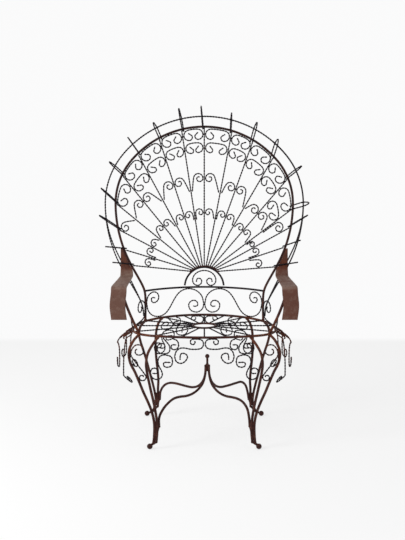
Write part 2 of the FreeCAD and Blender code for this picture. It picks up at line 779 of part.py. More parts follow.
def c_scroll(side, first, depth, bends, on_hoop):
    """C-scroll fitted so that its curls touch both spokes and, in the outer row, the hoop."""
    panel = Panel(side, first)
    low = 0.0
    high = panel.flat(panel.top_b)[0]
    hoop = hoop_line if sides[side][0] > 0 else flip(hoop_line)
    apart = wire_pitch + mitre_reach
    for _ in range(fitting_passes):
        flat = c_shape(low, high, depth, bends)
        gap_a, gap_b = panel.spoke_gaps(flat)
        low += apart - gap_a
        high -= apart - gap_b
        if on_hoop:
            depth += wire_on_bar + mitre_reach - closest(panel.place(flat), hoop)
    return wire_piece(panel.place(c_shape(low, high, depth, bends)), panel.normal)


def j_scroll(side, first, places, radius, curl):
    """J-scroll: tail welded to the odd spoke, curl against the even one."""
    panel = Panel(side, first)
    curl_first = first % 2 == 0
    lines = []
    for hub, top, place in ((panel.hub_a, panel.top_a, places[first]),
                            (panel.hub_b, panel.top_b, places[first + 1])):
        direction = (top - hub).normalize()
        at = panel.flat(hub + direction * place)
        foot = panel.flat(hub)
        length = math.hypot(at[0] - foot[0], at[1] - foot[1])
        lines.append((at, ((at[0] - foot[0]) / length, (at[1] - foot[1]) / length)))
    if curl_first:
        (curl_at, curl_out), (tail_at, tail_out) = lines
        turn_side = -1
    else:
        (tail_at, tail_out), (curl_at, curl_out) = lines
        turn_side = 1
    room = sum(panel.spoke_gaps([curl_at]))
    radius = min(radius, room / 2 - wire_pitch)
    reach = radius + wire_pitch
    centre = (curl_at[0] + turn_side * curl_out[1] * reach,
              curl_at[1] - turn_side * curl_out[0] * reach)
    start = (tail_at[0] - turn_side * tail_out[1] * wire_pitch,
             tail_at[1] + turn_side * tail_out[0] * wire_pitch)
    heading, length, _, _ = common_tangent(start, 0.0, turn_side, centre, radius, turn_side)
    inward = math.degrees(math.atan2(-curl_out[1], -curl_out[0]))
    turn = (inward - heading) * turn_side % 360
    moves = [(length, 0), (radius, turn_side * turn)]
    moves += [(size, turn_side * part) for size, part in curl]
    return wire_piece(panel.place(trace(start, heading, moves, scroll_sag)), panel.normal)


def fan_scrolls():
    outer = {"left": range(5), "right": range(5)}
    second = {"left": range(5), "right": range(4)}
    for side in sides:
        pieces = [c_scroll(side, k, wire_on_bar, outer_row_bends, True) for k in outer[side]]
        save("scrolls_outer_row_" + side, pieces)
        pieces = [c_scroll(side, k, second_row_depth, second_row_bends, False)
                  for k in second[side]]
        save("scrolls_second_row_" + side, pieces)
    third = {"left": third_row_left, "right": third_row_right}
    fourth = {"left": fourth_row_left, "right": fourth_row_right}
    for side in sides:
        pieces = [j_scroll(side, k, third[side], third_row_radius, third_row_curl)
                  for k in range(len(third[side]) - 1)]
        save("scrolls_third_row_" + side, pieces)
        pieces = [j_scroll(side, k, fourth[side], fourth_row_radius, fourth_row_curl)
                  for k in range(len(fourth[side]) - 1)]
        save("scrolls_fourth_row_" + side, pieces)


# Lower back: a mirrored pair of S-scrolls between the seat ring and the mid rail
lower_back_foot = seat_height + wire_on_bar
lower_back_top = rail_height - wire_on_rail


def on_lower_back(u, z):
    """Point of the surface that runs from the ring's back up to the mid rail."""
    above = on_rail(u, z - rail_height)
    ring_y = crossing(ring_line[len(ring_line) // 2:], 0, abs(above.x)).y
    share = (z - seat_height) / rail_above_seat
    return Vector(above.x, ring_y + (above.y - ring_y) * share, z)


def lower_back_scroll(sign):
    """S-scroll: outer curl against the hoop, inner curl against its mirror image."""
    outer_centre = (back_outer_middle, lower_back_foot + back_outer_bend)
    inner_centre = (back_inner_middle, lower_back_top - back_inner_bend)
    heading, length, _, _ = common_tangent(outer_centre, back_outer_bend, -1,
                                           inner_centre, back_inner_bend, 1)
    start = (back_outer_middle, lower_back_foot)
    inner = ((back_outer_bend, heading - 180), (length, 0), (back_inner_bend, 180 - heading),
             (back_inner_bend, 90)) + back_inner_curl
    flat = two_ways(start, 180, inner, back_outer_curl)
    points = [on_lower_back(sign * u, z) for u, z in flat]
    return wire_piece(points, Vector(0, 1, 0))


def lower_back():
    for side, (sign, _) in sides.items():
        save("lower_back_scroll_" + side, [lower_back_scroll(sign)])


# Arms
def hoop_across(z):
    return crossing(hoop_line, 2, z).x


def arm_strap(sign):
    """Strap bent down in front and up behind, tapered where it lies against the hoop."""
    plane_y = hoop_foot_y + arm_above_seat * math.tan(lean) + strap_depth / math.cos(lean)
    rise = 90 - back_lean
    bend_rise = arm_rear_bend * (1 - math.cos(math.radians(rise)))
    touch_y = plane_y + bend_rise * math.tan(lean)
    bend_start = touch_y - arm_rear_bend * math.sin(math.radians(rise))
    level = bend_start + arm_front - arm_front_bend
    drop = arm_above_seat - arm_drop_end - arm_front_bend
    top_run = (arm_top_end - arm_above_seat - bend_rise) / math.cos(lean)
    moves = ((drop / 2, 0), (drop / 2, 0), (arm_front_bend, -90), (level, 0), (arm_rear_bend, rise),
             (top_run / 2, 0), (top_run / 2, 0))
    path = trace((-arm_front, seat_height + arm_drop_end), 90, moves, bar_sag * 2)
    points = [Vector(0, y, z) for y, z in path]
    runs = [(b - a).normalize() for a, b in zip(points, points[1:])]
    sections = []
    for k, point in enumerate(points):
        before = runs[max(0, k - 1)]
        after = runs[min(k, len(runs) - 1)]
        cut = (before + after).normalize()
        normal = Vector(1, 0, 0).cross(cut)
        normal *= strap_thickness / 2 / before.cross(Vector(1, 0, 0)).dot(cut.cross(Vector(1, 0, 0)))
        share = min(1.0, max(0.0, (point.y + arm_front) / (bend_start + arm_front)))
        outside = arm_outer_front + (arm_outer_rear - arm_outer_front) * share
        if k == 1:
            outside += arm_drop_bow
        inside = outside - arm_width_front - (arm_width_rear - arm_width_front) * share
        if point.y > bend_start + 1:
            clear = hoop_across(point.z) + bar_radius + weld_gap
            inside = min(outside - arm_tip_width, max(inside, clear))
        corners = [Vector(inside, 0, 0) + point + normal, Vector(outside, 0, 0) + point + normal,
                   Vector(outside, 0, 0) + point - normal, Vector(inside, 0, 0) + point - normal]
        sections.append([Vector(sign * c.x, c.y, c.z) for c in corners])
    return faceted(sections)


def support_line():
    """Axis of the bar that props the front of an arm, from the strap down to the ring."""
    top = Vector(*support_points[0], arm_height - strap_thickness / 2)
    corner = crossing(ring_line, 0, front_outer_top)
    stand = bar_radius + leg_radius + weld_gap
    foot = corner + Vector(*support_foot_offset, stand)
    middle = [Vector(x, y, seat_height + above) for x, y, above in support_points[1:]]
    points = through([top] + middle + [foot], support_facets)
    rise = (points[0] - points[1]).normalize()
    level = Vector(rise.x, rise.y, 0).normalize()
    points[0] = points[0] - rise * butt_length(rise, level, 0.0, leg_radius)
    return points


def arms():
    line = support_line()
    for side, (sign, _) in sides.items():
        save("arm_strap_" + side, [arm_strap(sign)])
        points = line if sign > 0 else flip(line)
        save("arm_support_" + side, [bar(points, leg_radius, bar_sides, Vector(0, 1, 0))])
        save("arm_scroll_" + side, [arm_scroll(sign)])


def arm_scroll(sign):
    """Scroll under the arm: from the support down onto the ring and up against the hoop."""
    foot = seat_height + wire_on_bar
    fall = arm_scroll_fall
    hoop_place = crossing(hoop_line, 2, foot + arm_scroll_rear_bend)
    rear = hoop_place.y - (wire_on_bar + mitre_reach) / math.cos(lean)
    support = crossing(support_line(), 2, foot + fall)
    front = support.y + leg_radius + weld_gap + wire_radius
    dip = math.radians(arm_scroll_dip)
    first_run = (fall - arm_scroll_fall_bend * (1 - math.cos(dip))) / math.sin(dip)
    flat_run = rear - arm_scroll_rear_bend - front - first_run * math.cos(dip)
    flat_run -= arm_scroll_fall_bend * math.sin(dip)
    moves = ((first_run, 0), (arm_scroll_fall_bend, arm_scroll_dip), (flat_run, 0),
             (arm_scroll_rear_bend, 90), (arm_scroll_rear_rise, 0)) + arm_scroll_curl
    flat = trace((front, foot + fall), -arm_scroll_dip, moves, scroll_sag)
    points = []
    for y, z in flat:
        share = (y - front) / (rear - front)
        front_slope = (support.x - ring_across(front)) / fall
        rear_slope = (hoop_place.x - ring_across(rear)) / arm_scroll_rear_slope
        slope = front_slope + (rear_slope - front_slope) * min(1.0, share * arm_scroll_blend)
        points.append(Vector(sign * (ring_across(y) + slope * (z - foot)), y, z))
    return wire_piece(points, Vector(1, 0, 0))


# Legs, stretchers and feet
def leg_points(top_x, at_rear, upper, lower, foot):
    """Axis of a leg rod from under the seat ring down to its foot."""
    line = ring_line[len(ring_line) // 2:] if at_rear else ring_line
    top = crossing(line, 0, top_x)
    points = [top]
    points += [top + Vector(*offset) for offset in upper]
    points += [Vector(foot[0] + dx, foot[1] + dy, z) for dx, dy, z in lower]
    return points


def under_ring(points):
    """Cut the upper end of a leg rod where it meets the underside of the seat ring."""
    direction = (points[1] - points[0]).normalize()
    _, heading = walk(ring_line, ring_distance(points[0]))
    points[0] = points[0] + direction * butt_length(direction, heading, bar_radius, leg_radius)
    return points


def outer_rod(top_x, at_rear, upper, lower, foot):
    points = through(leg_points(top_x, at_rear, upper, lower, foot), leg_facets)
    ball = Vector(foot[0], foot[1], foot_ball_radius)
    last_run = (points[-1] - ball).normalize()
    points.append(ball + last_run * (foot_ball_radius + weld_gap))
    return under_ring(points)


def legs():
    corners = {
        "front": (front_outer_top, front_outer_upper, front_outer_lower,
                  front_inner_top, front_inner_upper, front_inner_lower, front_foot, False),
        "rear": (rear_outer_top, rear_outer_upper, rear_outer_lower,
                 rear_inner_top, rear_inner_upper, rear_inner_lower, rear_foot, True)}
    for end, sizes in corners.items():
        outer_top, outer_upper, outer_lower, inner_top, inner_upper, inner_lower, foot, rear = sizes
        outer = outer_rod(outer_top, rear, outer_upper, outer_lower, foot)
        inner = leg_points(inner_top, rear, inner_upper, inner_lower, foot)
        inner = under_ring(through(inner, leg_facets))
        scroll = [] if rear else leg_scroll(outer, inner)
        for side, (sign, _) in sides.items():
            name = end + "_" + side
            turn = flip if sign < 0 else list
            save("leg_outer_rod_" + name, [bar(turn(outer), leg_radius, bar_sides, Vector(0, 1, 0))])
            save("leg_inner_rod_" + name, [bar(turn(inner), leg_radius, bar_sides, Vector(0, 1, 0))])
            middle = Vector(sign * foot[0], foot[1], foot_ball_radius)
            profile = ball_profile(foot_ball_radius, 0.0, -70, 70, 4)
            profile[0] = (profile[0][0], -foot_ball_radius)
            save("foot_ball_" + name, [turned(profile, middle)])
            if scroll:
                save("leg_curl_" + side, [wire_piece(turn(scroll), Vector(0, 1, 0))])


def stretcher(end, sign):
    """One serpentine arm of the cross, from the bundle in the middle to a leg's inner rod."""
    if end == "front":
        profile, height, lead, foot = (front_stretcher, front_stretcher_end,
                                       front_stretcher_lead, front_foot)
        rod = leg_points(front_inner_top, False, front_inner_upper, front_inner_lower, foot)
    else:
        profile, height, lead, foot = (rear_stretcher, rear_stretcher_end,
                                       rear_stretcher_lead, rear_foot)
        rod = leg_points(rear_inner_top, True, rear_inner_upper, rear_inner_lower, foot)
    ankle = crossing(rod[-4:], 2, height)
    middle = Vector(sign * cross_shift, cross_middle, 0)
    outward = Vector(ankle.x - middle.x, ankle.y - middle.y, 0)
    length = outward.Length - leg_radius - stretcher_radius - weld_gap
    outward.normalize()
    places = [(stem_radius + weld_gap + stretcher_radius, stretcher_top)] + list(profile)
    places += [(length - lead, (profile[-1][1] + height) / 2 + stretcher_knee), (length, height)]
    points = [middle + outward * out + upright * z for out, z in places]
    line = through(points, stretcher_facets)
    return bar(line if sign > 0 else flip(line), stretcher_radius, bar_sides, outward.cross(upright))


def cross():
    for end in ("front", "rear"):
        for side, (sign, _) in sides.items():
            save("stretcher_" + end + "_" + side, [stretcher(end, sign)])
    neck = math.degrees(math.acos(stem_radius / finial_ball_radius))
    ball_middle = stem_high + finial_ball_radius * math.sin(math.radians(neck))
    profile = [(stem_radius, stem_low)]
    profile += ball_profile(finial_ball_radius, ball_middle, -neck, 70, 4)
    save("stretcher_finial", [turned(profile, Vector(cross_shift, cross_middle, 0))])


# Skirt: scrolls drawn flat, u along the ring and v below it, then hung on the flared surface
def hang_line(flare, shoulder, _, __):
    """Height, below the ring's axis, of a wire that touches the ring from under its flare."""
    return mitre_reach - wire_on_bar / math.hypot(1, flare * math.pi / 2 / shoulder)


def flare_at(v, flare, shoulder, turn_in, foot):
    """How far the skirt stands out from the ring at a height v below it."""
    if -v < shoulder:
        return flare * math.sin(math.pi / 2 * -v / shoulder)
    return flare * math.cos(math.pi / 2 * max(0.0, -v - turn_in) / (foot - turn_in))


def on_skirt(u, v, surface):
    """Point of the skirt at a distance u round the ring from its front middle."""
    place, heading = walk(ring_line, min(abs(u), ring_length - 0.01))
    if abs(u) > ring_length:
        place = place - heading * (abs(u) - ring_length)
        place.x = -(abs(u) - ring_length)
    outward = Vector(heading.y, -heading.x, 0)
    return place + outward * flare_at(v, *surface) + upright * v, outward


def skirt_piece(flat, origin, direction, surface, sign):
    """Flat scroll hung on the skirt, its u counted from origin in a direction round the ring."""
    placed = [on_skirt(origin + direction * u, v, surface) for u, v in flat]
    points = [point for point, _ in placed]
    up = placed[0][1]
    if sign < 0:
        points = flip(points)
        up = flip([up])[0]
    return wire_piece(points, up)


def lowest(flat):
    return min(v for _, v in flat)


def rail_scroll(top):
    """Long scroll that meets its mirror image in the middle of a panel."""
    start = (wire_pitch / 2, top - rail_scroll_top)
    return two_ways(start, 90, rail_scroll_near, rail_scroll_far)


def round_scroll(top):
    """Small C under the ring, beside the long scroll's shoulder."""
    return trace((round_scroll_start, top), 180, round_scroll_bends, scroll_sag)


def hanging_curl(top):
    """Curl on a slanting tail, between the ring and the top of the drop scroll."""
    start = (hanging_curl_start, top + hanging_curl_rise)
    return trace(start, hanging_curl_heading, hanging_curl_bends, scroll_sag)


def drop_scroll(top):
    """Arch with a small curl on its near side and a larger, lower one on its far side."""
    start = (drop_scroll_start, lowest(hanging_curl(top)) - wire_pitch + skirt_tuck)
    return two_ways(start, 0, drop_scroll_far, drop_scroll_near)


def side_scroll(top):
    """Taller form of the long scroll, for the side panels."""
    start = (wire_pitch / 2, top - side_scroll_top)
    return two_ways(start, 90, side_scroll_near, side_scroll_far)


def side_hook(top):
    """Tall scroll beside the side scroll: hooked over under the ring, curled at its foot."""
    beside = max(u for u, _ in side_scroll(top)) + wire_pitch
    return two_ways((beside, top - side_hook_bend), 90, side_hook_top, side_hook_foot)


def leg_scroll(outer, inner):
    """S-scroll between the two rods of a front leg, moved until it touches both."""
    flat = two_ways(leg_scroll_start, leg_scroll_heading, leg_scroll_foot, leg_scroll_top)
    points = [Vector(x, leg_scroll_depth, z) for x, z in flat]
    apart = leg_radius + weld_gap + wire_radius + mitre_reach
    for _ in range(fitting_passes):
        outward = Vector(closest(points, outer) - apart, 0, 0)
        points = [point + outward for point in points]
        back = Vector(0, max(0.0, apart - closest(points, inner)), 0)
        points = [point + back for point in points]
    return points


def skirt():
    top = hang_line(*skirt_ends)
    end_panel = [rail_scroll(top), round_scroll(top), hanging_curl(top), drop_scroll(top)]
    side_top = hang_line(*skirt_sides) - mitre_reach
    side_panel = [side_scroll(side_top), side_hook(side_top)]
    for side, (sign, _) in sides.items():
        front = [skirt_piece(flat, 0.0, 1, skirt_ends, sign) for flat in end_panel]
        save("skirt_front_" + side, front)
        rear = [skirt_piece(flat, ring_length, -1, skirt_ends, sign) for flat in end_panel]
        save("skirt_rear_" + side, rear)
        panel = [skirt_piece(flat, side_panel_middle, way, skirt_sides, sign)
                 for flat in side_panel for way in (1, -1)]
        save("skirt_side_" + side, panel)


seat_ring()
seat_hub()
seat_wires()
back_hoop()
outer_ring("outer_ring_front", front_ring_half, front_ring_depth)
outer_ring("outer_ring_rear", rear_ring_half, rear_ring_depth)
mid_rail()
hub_arch()
hub_scroll()
spokes_and_finials()
fan_scrolls()
lower_back()
arms()
legs()
cross()
skirt()

whole = Part.makeCompound([piece for pieces in built.values() for piece in pieces])
box = whole.BoundBox
print("nodes", len(built), "solids", sum(len(pieces) for pieces in built.values()))
print("outline x", round(box.XMin, 1), round(box.XMax, 1), "y", round(box.YMin, 1), round(box.YMax, 1),
      "z", round(box.ZMin, 1), round(box.ZMax, 1))
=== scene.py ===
import math

import bmesh
import bpy
from bpy.props import FloatProperty, FloatVectorProperty, IntProperty, PointerProperty
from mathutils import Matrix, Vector
from mathutils.geometry import interpolate_bezier
from mathutils.noise import noise as lump


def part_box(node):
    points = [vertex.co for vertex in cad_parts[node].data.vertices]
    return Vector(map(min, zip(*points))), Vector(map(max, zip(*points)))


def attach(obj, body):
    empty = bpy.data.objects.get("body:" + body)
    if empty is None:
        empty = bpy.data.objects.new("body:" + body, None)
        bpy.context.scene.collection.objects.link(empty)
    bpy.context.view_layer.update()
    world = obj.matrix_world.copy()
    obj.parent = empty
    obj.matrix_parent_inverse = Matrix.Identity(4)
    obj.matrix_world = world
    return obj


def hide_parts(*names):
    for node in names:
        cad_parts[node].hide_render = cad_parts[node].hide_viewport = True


bl_info = {
    "name": "Wrought garden armchair",
    "version": (1, 0, 0),
    "blender": (4, 5, 0),
    "location": "3D View > Sidebar > Armchair",
    "description": "Dresses the CAD frame of a scrolled wire garden armchair",
    "category": "Object",
}

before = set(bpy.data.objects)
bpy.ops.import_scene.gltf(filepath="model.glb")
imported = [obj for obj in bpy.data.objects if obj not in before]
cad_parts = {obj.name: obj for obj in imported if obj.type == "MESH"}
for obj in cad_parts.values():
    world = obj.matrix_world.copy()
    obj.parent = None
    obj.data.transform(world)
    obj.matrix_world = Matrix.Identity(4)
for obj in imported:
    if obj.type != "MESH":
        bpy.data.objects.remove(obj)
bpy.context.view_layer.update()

MM = 0.001
BODY = "root"
SIDES = ("left", "right")
CORNERS = tuple(end + "_" + side for end in ("front", "rear") for side in SIDES)

# Sizes that are the same as in the CAD source, in millimetres
FRAME_BAR = 8.5
RAIL_BAR = 7.0
LEG_BAR = 9.5
STRETCHER_BAR = 9.0
WIRE = 5.0
STRAP = 3.5
FOOT_BALL = 21.0
STEM = 8.5
STEM_HEIGHT = 51.0
FINIAL_BALL = 17.0
BAR_SIDES = 6
WIRE_SIDES = 4

# How exactly the corners of the CAD solids are told apart, in metres
SAME_PLACE = 1e-6
SAME_PLANE = 5e-6
SAME_LEVEL = 1e-5
SAME_LENGTH = 2e-5

# Reach of a bar's end section, in bar radii, corners of a strap's section, the distance between
# the inner and outer ridge of a bent ring, in bar diameters, and the least bend, in radians
SECTION_REACH = 2.2
STRAP_CORNERS = 4
RIDGES_APART = (0.98, 1.1)
LEAST_BEND = 1e-3

# Faces of the modelled pieces
STRAND_SIDES = 6
TURNED_STEPS = 24
BALL_STEPS = 12
STRAP_COLUMNS = 6
STRAP_EDGE_STEPS = 3
STRAP_CREASE = math.radians(50)
BEAD_DIVISIONS = 2

# Lumps of a weld bead: share of its size, and how many to a metre
LUMP_SHARE = 0.35
LUMPS = 300

# Height over which the weld at the end of a bar tapers into the rod beside it, in millimetres,
# how much thinner it gets, and how soon it closes on that rod
ANKLE_TAIL = 34.0
STRETCHER_TAIL = 26.0
STEM_TAIL = 14.0
TAIL_THINNING = 0.3
TAIL_CLOSING = 0.6

# Radius of the weld between two leg rods, as a share of a rod's diameter
SEAM_SHARE = 0.38

# Heights between which the two rods of a front or rear leg are welded side by side, in metres
SEAM_HEIGHTS = {"front": (0.030, 0.105), "rear": (0.045, 0.100)}

# Places that the weathering and the painted sheen on the strap tops follow, in metres
SEAT_HEIGHT = 0.42
SEAT_CORNER = (0.232, 0.170, SEAT_HEIGHT)
ARM_TOP = 0.597
UPPER_BACK = (0.62, 0.95)
SKIRT_FOOT = (0.28, 0.36)
SKIRT_TOP = (0.43, 0.46)
SKIRT_SIDE = (0.23, 0.29)

# Shine of the old paint, and the fineness of the patterns in its weathering
GLOSS = 0.13
BAR_CLOUDS, WIRE_CLOUDS, STRAP_CLOUDS = 34.0, 40.0, 26.0
BAR_GRAIN, WIRE_GRAIN, STRAP_GRAIN = 520.0, 640.0, 420.0
RUST_SPECKS, RUST_PATCHES = 210.0, 22.0
CORNER_RUST, CORNER_CHIPS, SIDE_RUST = 70.0, 150.0, 48.0
STRAP_STREAKS, STRAP_PITS, STRAP_SPECKS = 60.0, 120.0, 300.0

# Studio, in metres: distance of the walls' foot, half the width of its blur, reach of the floor
WALL_FOOT = 1.64
WALL_BLUR = 0.07
FLOOR_REACH = 30.0

# Share of the floor's light that doesn't come from the lamps, strength of the light all round,
# and the faint clouds on the floor: their fineness, share and colour
FLOOR_GLOW = 0.72
DAYLIGHT = 0.62
FLOOR_CLOUDS = 1.5
FLOOR_STAIN = 0.04
FLOOR_GREY = (0.8, 0.8, 0.8)

# Lamps: place, diameter in metres, power in watts
LAMPS = {"key": ((-2.5, -1.45, 1.9), 1.3, 62.0), "fill": ((2.2, -2.4, 2.2), 2.6, 14.0)}
LAMP_AIM = (0.0, 0.0, 0.5)

# Camera, as solved from the photograph: focal length and frame height in pixels, film height in
# millimetres, place in metres and how many degrees it looks down
FOCAL_PIXELS = 1133.0
FRAME_PIXELS = 540.0
FILM_HEIGHT = 24.0
CAMERA_PLACE = (-0.0068, -4.2013, 1.302)
CAMERA_DIP = 9.04


def size_property(name, description, default):
    return FloatProperty(name=name, description=description, default=default, unit="LENGTH",
                         precision=5, min=0.0)


def colour_property(name, description, default):
    return FloatVectorProperty(name=name, description=description, default=default,
                               subtype="COLOR", size=3, min=0.0, max=1.0)


class ArmchairSizes(bpy.types.PropertyGroup):
    bead: size_property("Bead", "Length of one visible bead of the twisted wire", 11 * MM)
    strand: size_property("Strand", "Diameter of one strand of the twisted wire", 3.9 * MM)
    finial_strand: size_property("Finial strand", "Diameter of one strand of the hairpin finials",
                                 4.4 * MM)
    twist_width: size_property("Twist width", "Width of the two twisted strands together",
                               6.0 * MM)
    bar_step: size_property("Bar step", "Length of the straight pieces that a bent bar is drawn in",
                            6 * MM)
    strap_step: size_property("Strap step", "Length of the pieces that an arm strap is drawn in",
                              4 * MM)
    strap_edge: size_property("Strap edge", "Rounding of the arm strap's edges", 0.7 * MM)
    paint_coat: size_property("Paint coat", "Thickness of old paint and rust on the round bars",
                              0.3 * MM)
    weld: size_property("Weld", "How far a weld bead stands out from a bar", 1.6 * MM)
    bar_rounding: IntProperty(name="Bar rounding", description="How finely a round bar is drawn",
                              default=3, min=1, max=12)
    rings_per_turn: IntProperty(name="Rings per turn",
                                description="Cross sections in one full twist",
                                default=12, min=6, max=48)


class ArmchairColours(bpy.types.PropertyGroup):
    bar_paint: colour_property("Bar paint", "Paint on the round bars", (0.032, 0.009, 0.007))
    bar_upper: colour_property("Upper bar paint", "Paint on the bars of the back, less weathered",
                               (0.013, 0.006, 0.006))
    bar_worn: colour_property("Worn bar paint", "Paint on the bars where it has thinned",
                              (0.095, 0.038, 0.028))
    wire_paint: colour_property("Wire paint", "Paint on the twisted wires", (0.007, 0.0045, 0.007))
    wire_worn: colour_property("Worn wire paint", "Wire where the paint has thinned",
                               (0.024, 0.014, 0.016))
    strap_paint: colour_property("Strap paint", "Paint on the arm straps", (0.120, 0.060, 0.044))
    strap_red: colour_property("Redder strap paint", "Paint on the strap that has rusted more",
                               (0.105, 0.042, 0.029))
    # Also painted as a sheen on the level top of the straps, besides the thinned streaks
    strap_worn_and_sheen: colour_property("Worn strap paint", "Straps where the paint has thinned",
                                (0.230, 0.160, 0.130))
    rust: colour_property("Rust", "Rust in chips, hollows and round the welds",
                          (0.135, 0.036, 0.014))
    chip: colour_property("Chip", "Pale spots where paint and rust have flaked",
                          (0.360, 0.230, 0.165))
    floor: colour_property("Floor", "Studio floor", (0.95, 0.95, 0.945))
    wall: colour_property("Wall", "Studio wall, as the camera sees it", (0.96, 0.96, 0.962))


class Number:
    """A number socket, for shader arithmetic in plain expressions."""

    def __init__(self, paint, socket):
        self.paint = paint
        self.socket = socket

    def __add__(self, other):
        return self.paint.maths("ADD", self, other)

    def __radd__(self, other):
        return self.paint.maths("ADD", other, self)

    def __sub__(self, other):
        return self.paint.maths("SUBTRACT", self, other)

    def __rsub__(self, other):
        return self.paint.maths("SUBTRACT", other, self)

    def __mul__(self, other):
        return self.paint.maths("MULTIPLY", self, other)

    def __rmul__(self, other):
        return self.paint.maths("MULTIPLY", other, self)

    def __abs__(self):
        return self.paint.maths("ABSOLUTE", self)


class Paint:
    """The node tree of a material or world, and the one way its nodes are made."""

    def __init__(self, owner):
        owner.use_nodes = True
        self.owner = owner
        self.tree = owner.node_tree
        self.tree.nodes.clear()

    def node(self, kind, settings=None, inputs=None):
        """Add a node: its settings first, then a value or a link for each socket named."""
        node = self.tree.nodes.new(kind)
        for key, value in (settings or {}).items():
            setattr(node, key, value)
        for key, value in (inputs or {}).items():
            socket = node.inputs[key]
            if isinstance(value, Number):
                value = value.socket
            if isinstance(value, bpy.types.NodeSocket):
                self.tree.links.new(value, socket)
            else:
                socket.default_value = value
        return node

    def maths(self, operation, *values):
        """The result of a Math node on numbers and links."""
        node = self.node("ShaderNodeMath", {"operation": operation}, dict(enumerate(values)))
        return Number(self, node.outputs[0])

    def place(self):
        """Where the shaded point lies on the object, in metres."""
        return self.node("ShaderNodeTexCoord").outputs["Object"]

    def along(self, axis):
        node = self.node("ShaderNodeSeparateXYZ", None, {0: self.place()})
        return Number(self, node.outputs[axis])

    def noise(self, scale, detail=4.0, roughness=0.6, stretch=(1.0, 1.0, 1.0)):
        place = self.node("ShaderNodeMapping", None, {"Vector": self.place(), "Scale": stretch})
        node = self.node("ShaderNodeTexNoise", None,
                         {"Vector": place.outputs[0], "Scale": scale, "Detail": detail,
                          "Roughness": roughness})
        return Number(self, node.outputs["Fac"])

    def between(self, number, low, high):
        """The number, stretched so that low reads 0 and high reads 1."""
        node = self.node("ShaderNodeMapRange", {"interpolation_type": "SMOOTHSTEP"},
                         {"Value": number, "From Min": low, "From Max": high})
        return Number(self, node.outputs[0])

    def near(self, place, full, nil):
        """1 close to a place and its mirror images, 0 further off."""
        folded = self.node("ShaderNodeVectorMath", {"operation": "ABSOLUTE"}, {0: self.place()})
        apart = self.node("ShaderNodeVectorMath", {"operation": "DISTANCE"},
                          {0: folded.outputs[0], 1: place})
        return 1 - self.between(Number(self, apart.outputs["Value"]), full, nil)

    def mix(self, factor, first, second):
        """A colour between two colours or colour links."""
        first = first if isinstance(first, bpy.types.NodeSocket) else (*first, 1.0)
        second = second if isinstance(second, bpy.types.NodeSocket) else (*second, 1.0)
        node = self.node("ShaderNodeMix", {"data_type": "RGBA"}, {0: factor, 6: first, 7: second})
        return node.outputs[2]

    def bump(self, number, distance, strength):
        node = self.node("ShaderNodeBump", None,
                         {"Height": number, "Distance": distance, "Strength": strength})
        return node.outputs["Normal"]

    def seen(self):
        """1 for what the camera, a reflection or a clear piece sees, 0 for light that falls."""
        rays = self.node("ShaderNodeLightPath")
        names = ("Is Camera Ray", "Is Glossy Ray", "Is Transmission Ray")
        camera, glossy, clear = (Number(self, rays.outputs[name]) for name in names)
        return self.maths("MAXIMUM", self.maths("MAXIMUM", camera, glossy), clear)

    def painted_steel(self, colour, roughness, normal):
        shader = self.node("ShaderNodeBsdfPrincipled", None, {
            "Base Color": colour, "Roughness": roughness, "Normal": normal,
            "Specular IOR Level": GLOSS})
        self.node("ShaderNodeOutputMaterial", None, {"Surface": shader.outputs[0]})


def rust_specks(coat, share):
    """Small rust spots, in patches."""
    specks = coat.between(coat.noise(RUST_SPECKS, 3.0, 0.7), 0.62 - share, 0.70)
    return specks * coat.between(coat.noise(RUST_PATCHES, 3.0, 0.5), 0.44, 0.60)


def either(first, second):
    return 1 - (1 - first) * (1 - second)


def bar_paint(coat, colours):
    """Round bar: thinned brown paint, rusty round the seat's corners and darker up the back."""
    clouds = coat.noise(BAR_CLOUDS, 5.0, 0.62)
    patches = coat.between(clouds, 0.47, 0.66)
    corner = coat.near(SEAT_CORNER, 0.035, 0.12)
    corner_rust = corner * coat.between(coat.noise(CORNER_RUST, 4.0, 0.6), 0.38, 0.58)
    rusty = either(rust_specks(coat, 0.07), corner_rust * 0.9)
    chips = corner * coat.between(coat.noise(CORNER_CHIPS, 3.0, 0.6), 0.60, 0.68)
    upper = coat.between(coat.along("Z"), *UPPER_BACK)
    colour = coat.mix(patches * 0.6, colours.bar_paint, colours.bar_worn)
    colour = coat.mix(upper * 0.75, colour, colours.bar_upper)
    colour = coat.mix(rusty * 0.85, colour, colours.rust)
    colour = coat.mix(chips * 0.8, colour, colours.chip)
    dull = 0.48 + patches * 0.10 + rusty * 0.25
    surface = coat.noise(BAR_GRAIN, 4.0, 0.65) * 0.7 + clouds * 0.3 - rusty * 0.35
    coat.painted_steel(colour, dull, coat.bump(surface, 0.35 * MM, 0.55))


def wire_paint(coat, colours):
    """Twisted wire: nearly black, with rust on the sides of the skirt and round the corners."""
    clouds = coat.noise(WIRE_CLOUDS, 5.0, 0.62)
    patches = coat.between(clouds, 0.50, 0.66)
    height = coat.along("Z")
    skirt = coat.between(height, *SKIRT_FOOT) * (1 - coat.between(height, *SKIRT_TOP))
    skirt_side = skirt * coat.between(abs(coat.along("X")), *SKIRT_SIDE)
    side_rust = skirt_side * coat.between(coat.noise(SIDE_RUST, 4.0, 0.6), 0.36, 0.56)
    corner_rust = coat.near(SEAT_CORNER, 0.03, 0.10) * coat.between(clouds, 0.42, 0.58)
    rusty = either(either(rust_specks(coat, 0.05) * 0.7, side_rust * 0.75), corner_rust * 0.8)
    colour = coat.mix(patches * 0.7, colours.wire_paint, colours.wire_worn)
    colour = coat.mix(rusty * 0.8, colour, colours.rust)
    dull = 0.55 + patches * 0.08 + rusty * 0.22
    surface = coat.noise(WIRE_GRAIN, 4.0, 0.65) * 0.7 + clouds * 0.3 - rusty * 0.3
    coat.painted_steel(colour, dull, coat.bump(surface, 0.3 * MM, 0.5))


